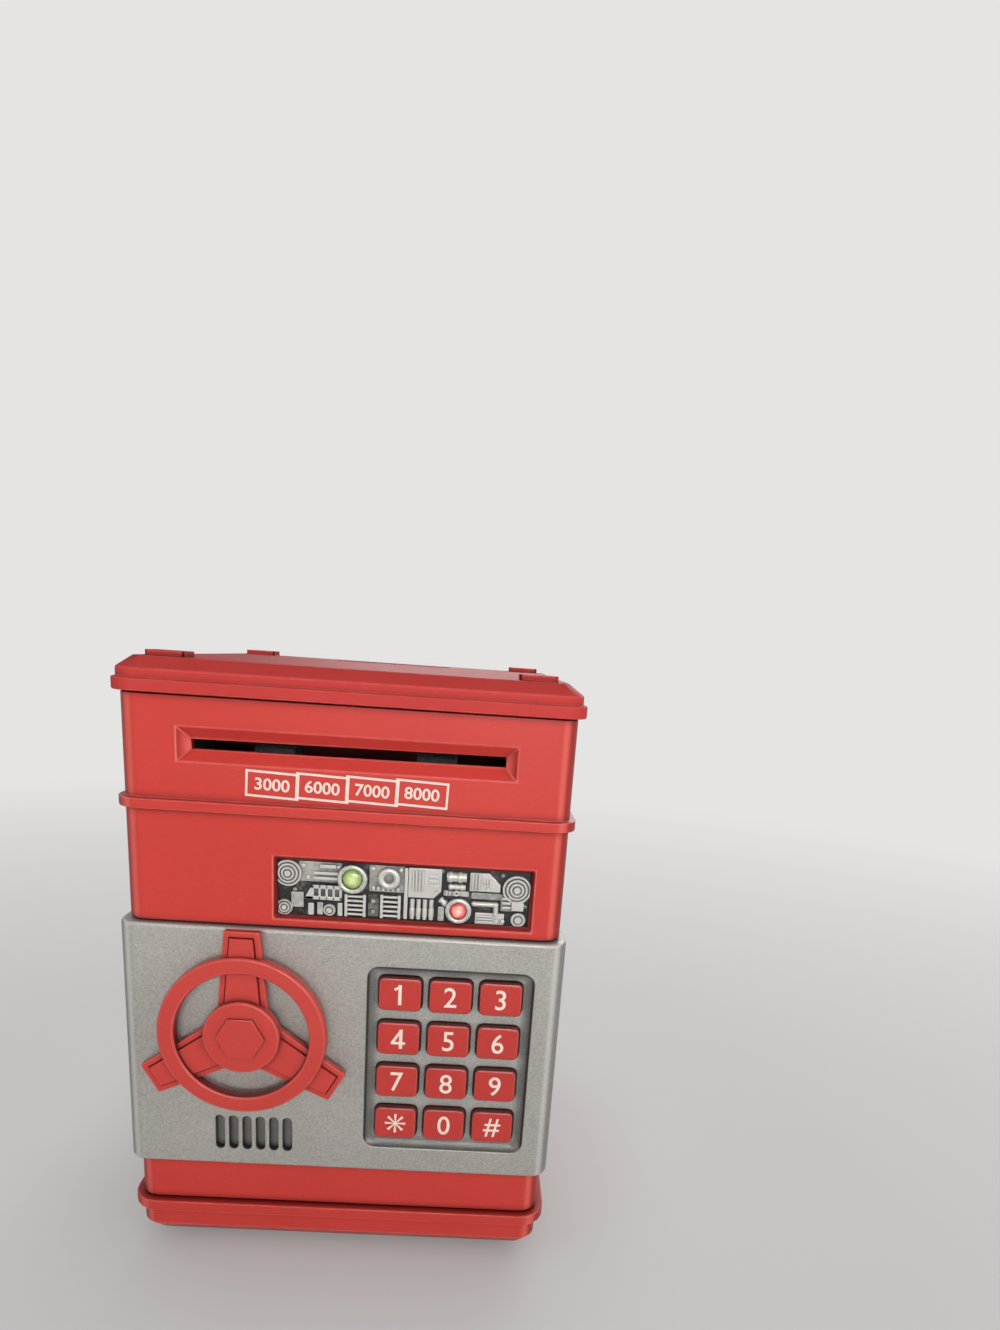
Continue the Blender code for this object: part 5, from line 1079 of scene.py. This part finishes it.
# Number cards on the front
def card_frame():
    """The outline of a card, as a thin raised print."""
    card = new_part()
    bmesh.ops.create_grid(card, x_segments=1, y_segments=1, size=0.5)
    bmesh.ops.scale(card, vec=(CARD_WIDTH, CARD_HEIGHT, 1.0), verts=card.verts)
    middle = list(card.faces)
    bmesh.ops.inset_region(
        card, faces=middle, thickness=CARD_BORDER, use_boundary=True, use_even_offset=True,
    )
    bmesh.ops.delete(card, geom=middle, context="FACES")
    raised = bmesh.ops.extrude_face_region(card, geom=list(card.faces))
    top = [v for v in raised["geom"] if isinstance(v, bmesh.types.BMVert)]
    bmesh.ops.translate(card, vec=(0, 0, CARD_DEPTH), verts=top)
    bmesh.ops.recalc_face_normals(card, faces=card.faces)
    return card


def make_number_cards():
    for index, number in enumerate(CARD_NUMBERS):
        x = (index - (len(CARD_NUMBERS) - 1) / 2) * CARD_PITCH
        place = facing(x, FRONT_Y + CARD_SUNK * (1 - index), CARD_Z) @ spun(-CARD_TILT)
        card = placed(card_frame(), place)
        number_print = figures(number, CARD_FIGURE_HEIGHT, CARD_DEPTH, CARD_FIGURE_BOLD, CARD_FIGURE_WIDEN)
        add(card, number_print, place)
        piece(f"number_card_{number}", card, CARD_INK, "case")


# Window machinery, in millimetres from the window's lower left corner
def in_window(across, up, rise=0.0):
    """A place in front of the plate."""
    return facing(WINDOW_LEFT + across * MM, RELIEF_Y - rise * MM, WINDOW_FOOT + up * MM)


def kept_in_window(build):
    """Cuts off what reaches past the window's edges and closes the cuts."""
    inset = WINDOW_MARGIN + WINDOW_BEVEL
    low = Vector((PANEL_LOW.x + inset, 0.0, WINDOW_FOOT + WINDOW_BEVEL))
    high = Vector((PANEL_HIGH.x - inset, 0.0, PANEL_HIGH.z - inset))
    for corner, way in ((low, (-1, 0, 0)), (low, (0, 0, -1)), (high, (1, 0, 0)), (high, (0, 0, 1))):
        everything = [*build.verts, *build.edges, *build.faces]
        cut = bmesh.ops.bisect_plane(
            build, geom=everything, dist=TINY / 10, plane_co=corner, plane_no=way, clear_outer=True,
        )
        rim = [e for e in cut["geom_cut"] if isinstance(e, bmesh.types.BMEdge)]
        bmesh.ops.holes_fill(build, edges=rim, sides=0)


def stepped_dome(radius, height, rings):
    """A round cover of rings that rise to the middle, with a groove inside each ring."""
    step = radius / rings
    groove = 0.3 * height
    profile = [(0.0, 0.0), (radius, 0.0)]
    for ring in range(rings):
        outer = radius - ring * step
        top = height * (0.55 + 0.45 * (ring + 1) / rings)
        inner = max(0.0, outer - 0.62 * step)
        profile += [(outer, top - 0.12 * height), (outer - 0.16 * step, top), (inner, top)]
        if ring < rings - 1:
            profile += [(inner, top - groove), (outer - step, top - groove)]
    profile.append((0.0, height))
    return turned(profile, ROUND_STEPS)


def port_ring(outer, inner, height):
    """A raised port with a rounded rim and a hole."""
    half = (outer - inner) / 2
    profile = [(inner, 0.0), (outer, 0.0)]
    for step in range(RIM_STEPS + 1):
        angle = math.pi * step / RIM_STEPS
        profile.append((inner + half + half * math.cos(angle), height - half * 0.8 * (1 - math.sin(angle))))
    return turned(profile, ROUND_STEPS, closed=True)


def fins(width, height, count, rise, upright):
    """A row of thin bars that fills a width and a height from its lower left corner."""
    row = new_part()
    pitch = (width if upright else height) / count
    margin = 0.22 * pitch
    for index in range(count):
        start = index * pitch + margin
        end = (index + 1) * pitch - margin
        low = (start, 0.0, 0.0) if upright else (0.0, start, 0.0)
        high = (end, height, rise) if upright else (width, end, rise)
        add(row, block(low, high, 0.0, FIN_ROUND))
    return row


def ladder(width, height, rungs, rise):
    """Two upright rails with round rungs between them."""
    made = new_part()
    rail = 0.85 * MM
    rung_rise = rise * 0.6
    for start in (0.0, width - rail):
        add(made, block((start, 0.0, 0.0), (start + rail, height, rise), 0.0, RELIEF_ROUND))
    for index in range(rungs):
        up = (index + 0.5) * height / rungs
        add(made, rod(0.42 * MM, (rail / 2, up, rung_rise), (width - rail / 2, up, rung_rise)))
    return made


def pocket_row(width, height, pockets, rise):
    """A plate with a row of deep pockets, slanted at its left end."""
    made = block((0.0, 0.0, 0.0), (width, height, rise * 0.3), 0.0, 0.1 * MM)
    wall = height * 0.24
    for low, high in ((0.0, wall), (height - wall, height)):
        add(made, block((0.0, low, 0.0), (width, high, rise), 0.0, RELIEF_ROUND))
    first = width * 0.26
    pitch = (width - first) / pockets
    add(made, block((0.0, 0.0, 0.0), (first, height, rise), 0.0, RELIEF_ROUND))
    for index in range(pockets):
        end = first + (index + 1) * pitch
        add(made, block((end - pitch * 0.34, 0.0, 0.0), (end, height, rise), 0.0, RELIEF_ROUND))
    for vert in made.verts:
        vert.co.x += vert.co.y / height * first * 0.8 * max(0.0, 1 - vert.co.x / first)
    return made


def housing(width, height, rise, corner):
    """A box with its lower right corner cut off."""
    made = block((0.0, 0.0, 0.0), (width, height, rise))
    upright = [e for e in made.edges if all(v.co.x > width / 2 and v.co.y < height / 2 for v in e.verts)]
    bmesh.ops.bevel(
        made, geom=upright, offset=corner, offset_type="OFFSET", segments=1, profile=0.5, affect="EDGES",
        material=-1,
    )
    round_over(made, level_edges(made, rise), BROAD_ROUND)
    return made


def collared_bar(radius, length, collars):
    """A lying bar with collars round it, half sunk in the plate."""
    made = rod(radius, (0.0, 0.0, 0.0), (length, 0.0, 0.0), BAR_STEPS, BROAD_ROUND)
    for index in range(collars):
        start = length * (index + 0.15) / collars
        end = start + length * 0.4 / collars
        add(made, rod(radius * 1.2, (start, 0.0, 0.0), (end, 0.0, 0.0), BAR_STEPS, FINE_ROUND))
    return made


def bent_pipe(points, radius):
    """A pipe along straight runs, with a ball at each end and bend."""
    pipe = new_part()
    for start, end in zip(points, points[1:]):
        add(pipe, rod(radius, start, end, PIPE_STEPS))
    for bend in points:
        ball = new_part()
        place = Matrix.Translation(bend)
        bmesh.ops.create_uvsphere(
            ball, u_segments=PIPE_STEPS, v_segments=10, radius=radius * 1.08, matrix=place,
        )
        add(pipe, ball)
    return pipe


def bolt_head(radius, rise):
    """A six-sided head with its rim rounded."""
    head = rod(radius, (0.0, 0.0, 0.0), (0.0, 0.0, rise), 6)
    round_over(head, level_edges(head, rise), FINE_ROUND)
    return head


def relief(name, build, stands_for=()):
    """Makes a piece of the machinery."""
    piece("relief_" + name, build, RELIEF, "case", stands_for)


def make_machinery():
    size = PANEL_HIGH - PANEL_LOW
    backing = block((0.0, 0.0, 0.0), (size.x, size.z, PANEL_HIGH.y - RELIEF_Y), 0.0, BROAD_ROUND)
    plate = placed(backing, facing(PANEL_LOW.x, PANEL_HIGH.y, PANEL_LOW.z))
    relief("plate", plate, ("machine_panel",))

    shelves = new_part()
    for across, up, width, height, rise in (
        (7.2, 11.6, 12.4, 6.0, 0.7), (27.6, 9.6, 10.2, 8.0, 0.6), (5.0, 3.6, 3.6, 4.6, 0.9),
        (66.4, 5.8, 3.8, 5.0, 0.6), (57.6, 9.0, 9.4, 2.0, 0.5), (59.0, 1.6, 8.6, 3.4, 1.1),
        (10.1, 1.7, 1.6, 3.6, 1.7), (12.6, 1.6, 1.7, 3.8, 0.9), (18.6, 1.6, 1.4, 4.0, 1.2),
        (27.4, 1.8, 3.2, 6.8, 0.3), (48.0, 1.7, 1.8, 4.4, 0.8), (69.6, 6.2, 3.6, 2.6, 1.3),
        (37.9, 1.8, 1.1, 15.6, 1.2), (49.4, 9.6, 7.4, 1.6, 0.8),
    ):
        shelf = block((0.0, 0.0, 0.0), (width * MM, height * MM, rise * MM), 0.3 * MM, BROAD_ROUND, 3)
        add(shelves, shelf, in_window(across, up))
    relief("shelves", shelves)

    domes = new_part()
    for across, up, radius, height, rings in (
        (4.1, 13.9, 4.0, 2.0, 4), (70.9, 12.7, 4.3, 2.0, 4), (3.0, 3.4, 2.4, 1.5, 3),
        (71.8, 3.4, 2.2, 1.6, 2), (16.2, 3.3, 1.8, 1.8, 2),
    ):
        add(domes, stepped_dome(radius * MM, height * MM, rings), in_window(across, up))
    kept_in_window(domes)
    relief("domes", domes)

    ports = new_part()
    for across, up, outer, inner, height in ((33.4, 13.9, 3.3, 1.4, 2.0), (53.2, 10.6, 0.9, 0.3, 1.7)):
        add(ports, port_ring(outer * MM, inner * MM, height * MM), in_window(across, up))
    relief("ports", ports)

    boxes = new_part()
    add(boxes, housing(9.6 * MM, 9.0 * MM, 1.5 * MM, 2.2 * MM), in_window(39.1, 8.7))
    add(boxes, housing(9.0 * MM, 5.6 * MM, 1.3 * MM, 3.4 * MM), in_window(57.0, 11.6) @ flipped(5.6 * MM))
    add(boxes, pocket_row(11.0 * MM, 4.4 * MM, 4, 1.6 * MM), in_window(8.8, 6.4))
    relief("boxes", boxes)

    combs = new_part()
    for across, up, rise, width, height, count, thick, upright in (
        (40.0, 10.6, 1.5, 3.8, 6.4, 4, 0.4, True), (45.0, 11.8, 1.5, 2.9, 4.4, 3, 0.35, False),
        (57.4, 12.0, 1.3, 2.8, 4.8, 3, 0.5, True), (60.8, 13.6, 1.3, 2.6, 1.8, 3, 0.35, True),
        (11.6, 12.2, 0.7, 7.0, 3.0, 2, 0.9, False), (13.4, 15.6, 0.7, 4.6, 1.8, 1, 0.8, False),
        (59.6, 2.0, 1.1, 4.6, 2.6, 3, 0.5, False), (28.2, 10.0, 0.6, 8.6, 1.2, 6, 0.5, True),
        (66.8, 6.4, 0.6, 2.6, 4.0, 3, 0.6, False), (49.8, 9.8, 0.8, 3.0, 1.2, 3, 0.5, True),
    ):
        add(combs, fins(width * MM, height * MM, count, thick * MM, upright), in_window(across, up, rise))
    for across, up, width, height in ((20.6, 1.7, 6.2, 6.8), (31.0, 1.7, 6.0, 7.2)):
        add(combs, ladder(width * MM, height * MM, 5, 1.4 * MM), in_window(across, up))
    relief("combs", combs)

    bars = new_part()
    add(bars, collared_bar(1.45 * MM, 5.8 * MM, 2), in_window(50.2, 15.4, 0.4))
    add(bars, collared_bar(0.95 * MM, 5.0 * MM, 3), in_window(50.8, 12.4, 0.4))
    add(bars, collared_bar(0.85 * MM, 2.9 * MM, 2), in_window(48.4, 8.6, 0.6) @ spun(-42))
    for index in range(4):
        add(bars, collared_bar(0.72 * MM, 6.3 * MM, 1), in_window(40.4 + 1.85 * index, 1.9, 0.6) @ spun(90))
    run = [Vector((0.0, 0.0, 0.0)), Vector((6.6, 0.0, 0.0)) * MM, Vector((6.6, -2.9, 0.0)) * MM]
    add(bars, bent_pipe(run, 0.75 * MM), in_window(58.4, 7.7, 0.9))
    relief("bars", bars)

    bolts = new_part()
    for across, up, rise in (
        (8.6, 16.4, 0.7), (10.0, 13.0, 0.7), (18.6, 16.4, 0.7), (28.7, 16.6, 0.6), (36.8, 16.6, 0.6),
        (28.9, 3.4, 0.3), (28.9, 6.6, 0.3), (47.4, 10.6, 1.5), (66.6, 16.6, 0.0), (67.2, 2.8, 1.1),
        (65.4, 2.8, 1.1), (73.6, 7.4, 0.0), (6.0, 8.8, 0.0), (48.9, 16.8, 0.0), (62.4, 12.4, 1.3),
    ):
        add(bolts, bolt_head(BOLT_RADIUS, BOLT_RISE), in_window(across, up, rise))
    relief("bolts", bolts)


def make_lamps():
    """Domed lenses, each inside a rounded bezel that stands on the machinery."""
    for node, finish in (("green_lamp", GREEN_LENS), ("red_lamp", RED_LENS)):
        low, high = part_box(node)
        centre = (low + high) / 2
        flange = (high.x - low.x) / 2
        radius = flange - LENS_MARGIN
        front = high.y - LENS_FRONT_Y
        dome = radius * LENS_DOME_SHARE
        profile = [(0.0, front)]
        for step in range(1, LENS_STEPS + 1):
            angle = math.pi / 2 * step / LENS_STEPS
            profile.append((radius * math.sin(angle), front - dome + dome * math.cos(angle)))
        profile += [(radius, LENS_FLANGE_FRONT), (flange, LENS_FLANGE_FRONT), (flange, 0.0), (0.0, 0.0)]
        glass = placed(turned(profile, ROUND_STEPS), facing(centre.x, high.y, centre.z))
        piece(node + "_lens", glass, finish, "case", (node,))
        ring = port_ring(flange + BEZEL_MARGIN, radius + BEZEL_GAP, RELIEF_Y - BEZEL_FRONT_Y)
        bezel = placed(ring, facing(centre.x, RELIEF_Y, centre.z))
        piece(node + "_bezel", bezel, BEZEL_GREY, "case")


# Underside
def make_battery_grip():
    """Ridges for the thumb on the battery cover."""
    grip = new_part()
    for index in range(GRIP_RIDGES):
        y = COVER_LOW.y + GRIP_START + index * GRIP_PITCH
        left = (-GRIP_HALF_LENGTH, y, COVER_LOW.z)
        right = (GRIP_HALF_LENGTH, y, COVER_LOW.z)
        add(grip, rod(GRIP_RADIUS, left, right, edge=GRIP_ROUND))
    piece("battery_cover_grip", grip, RED_CASE, "case")


# Stage, light and camera
def make_stage():
    """A pale floor that curves up into a backdrop."""
    sweep = bmesh.new()
    start = sweep.verts.new((-STAGE_HALF_WIDTH, STAGE_FRONT, 0.0))
    end = sweep.verts.new((STAGE_HALF_WIDTH, STAGE_FRONT, 0.0))
    edge = [sweep.edges.new((start, end))]

    def run(edges, shift):
        made = bmesh.ops.extrude_edge_only(sweep, edges=edges)["geom"]
        bmesh.ops.translate(sweep, vec=shift, verts=[v for v in made if isinstance(v, bmesh.types.BMVert)])
        return [e for e in made if isinstance(e, bmesh.types.BMEdge)]

    edge = run(edge, (0.0, STAGE_BACK - STAGE_FRONT, 0.0))
    curve = bmesh.ops.spin(
        sweep, geom=edge + list(edge[0].verts), axis=(1, 0, 0), cent=(0, STAGE_BACK, STAGE_BEND),
        angle=math.radians(90), steps=16, use_duplicate=False,
    )
    edge = [e for e in curve["geom_last"] if isinstance(e, bmesh.types.BMEdge)]
    run(edge, (0.0, 0.0, STAGE_RISE))
    bmesh.ops.recalc_face_normals(sweep, faces=sweep.faces)
    mesh = bpy.data.meshes.new("pale_sweep")
    sweep.to_mesh(mesh)
    sweep.free()
    mesh.materials.append(pale_sweep("pale_floor"))
    mesh.shade_smooth()
    in_scene("pale_sweep", mesh)


def soft_box(name, place, aim, width, height, power, spread=180):
    lamp = bpy.data.lights.new(name, "AREA")
    lamp.spread = math.radians(spread)
    lamp.shape = "RECTANGLE"
    lamp.size = width
    lamp.size_y = height
    lamp.energy = power
    made = in_scene(name, lamp)
    turn = (Vector(aim) - Vector(place)).to_track_quat("-Z", "Y").to_matrix().to_4x4()
    made.matrix_world = Matrix.Translation(place) @ turn
    made.visible_camera = False


def make_light():
    middle = (0.0, 0.0, 0.09)
    upper_front = (0.03, 0.0, 0.185)
    soft_box("key_light", (0.2, -0.95, 0.38), upper_front, width=0.9, height=0.3, power=1.02, spread=46)
    soft_box("right_light", (1.15, -0.75, 0.3), middle, width=0.07, height=0.9, power=3.2)
    soft_box("left_light", (-1.2, -0.7, 0.3), middle, width=0.06, height=0.9, power=1.2)
    soft_box("rear_light", (0.35, 1.4, 0.75), middle, width=1.4, height=0.4, power=12.0)
    bpy.context.scene.world = Sky("studio").world


def make_camera():
    lens_set = bpy.data.cameras.new("photo_camera")
    lens_set.sensor_fit = "VERTICAL"
    lens_set.sensor_height = SENSOR
    lens_set.lens = CAMERA_LENS
    lens_set.shift_y = CAMERA_RAISE
    made = in_scene("photo_camera", lens_set)
    yaw = spun(-CAMERA_RIGHT)
    pitch = Matrix.Rotation(math.radians(90 - CAMERA_DOWN), 4, "X")
    made.matrix_world = Matrix.Translation(CAMERA_PLACE) @ yaw @ pitch @ spun(CAMERA_ROLL)
    bpy.context.scene.camera = made


make_case_and_door()
dress_inner_pieces()
make_hand_wheel()
make_keys()
make_number_cards()
make_machinery()
make_lamps()
make_battery_grip()
make_stage()
make_light()
make_camera()
bpy.context.scene.view_settings.view_transform = "Standard"
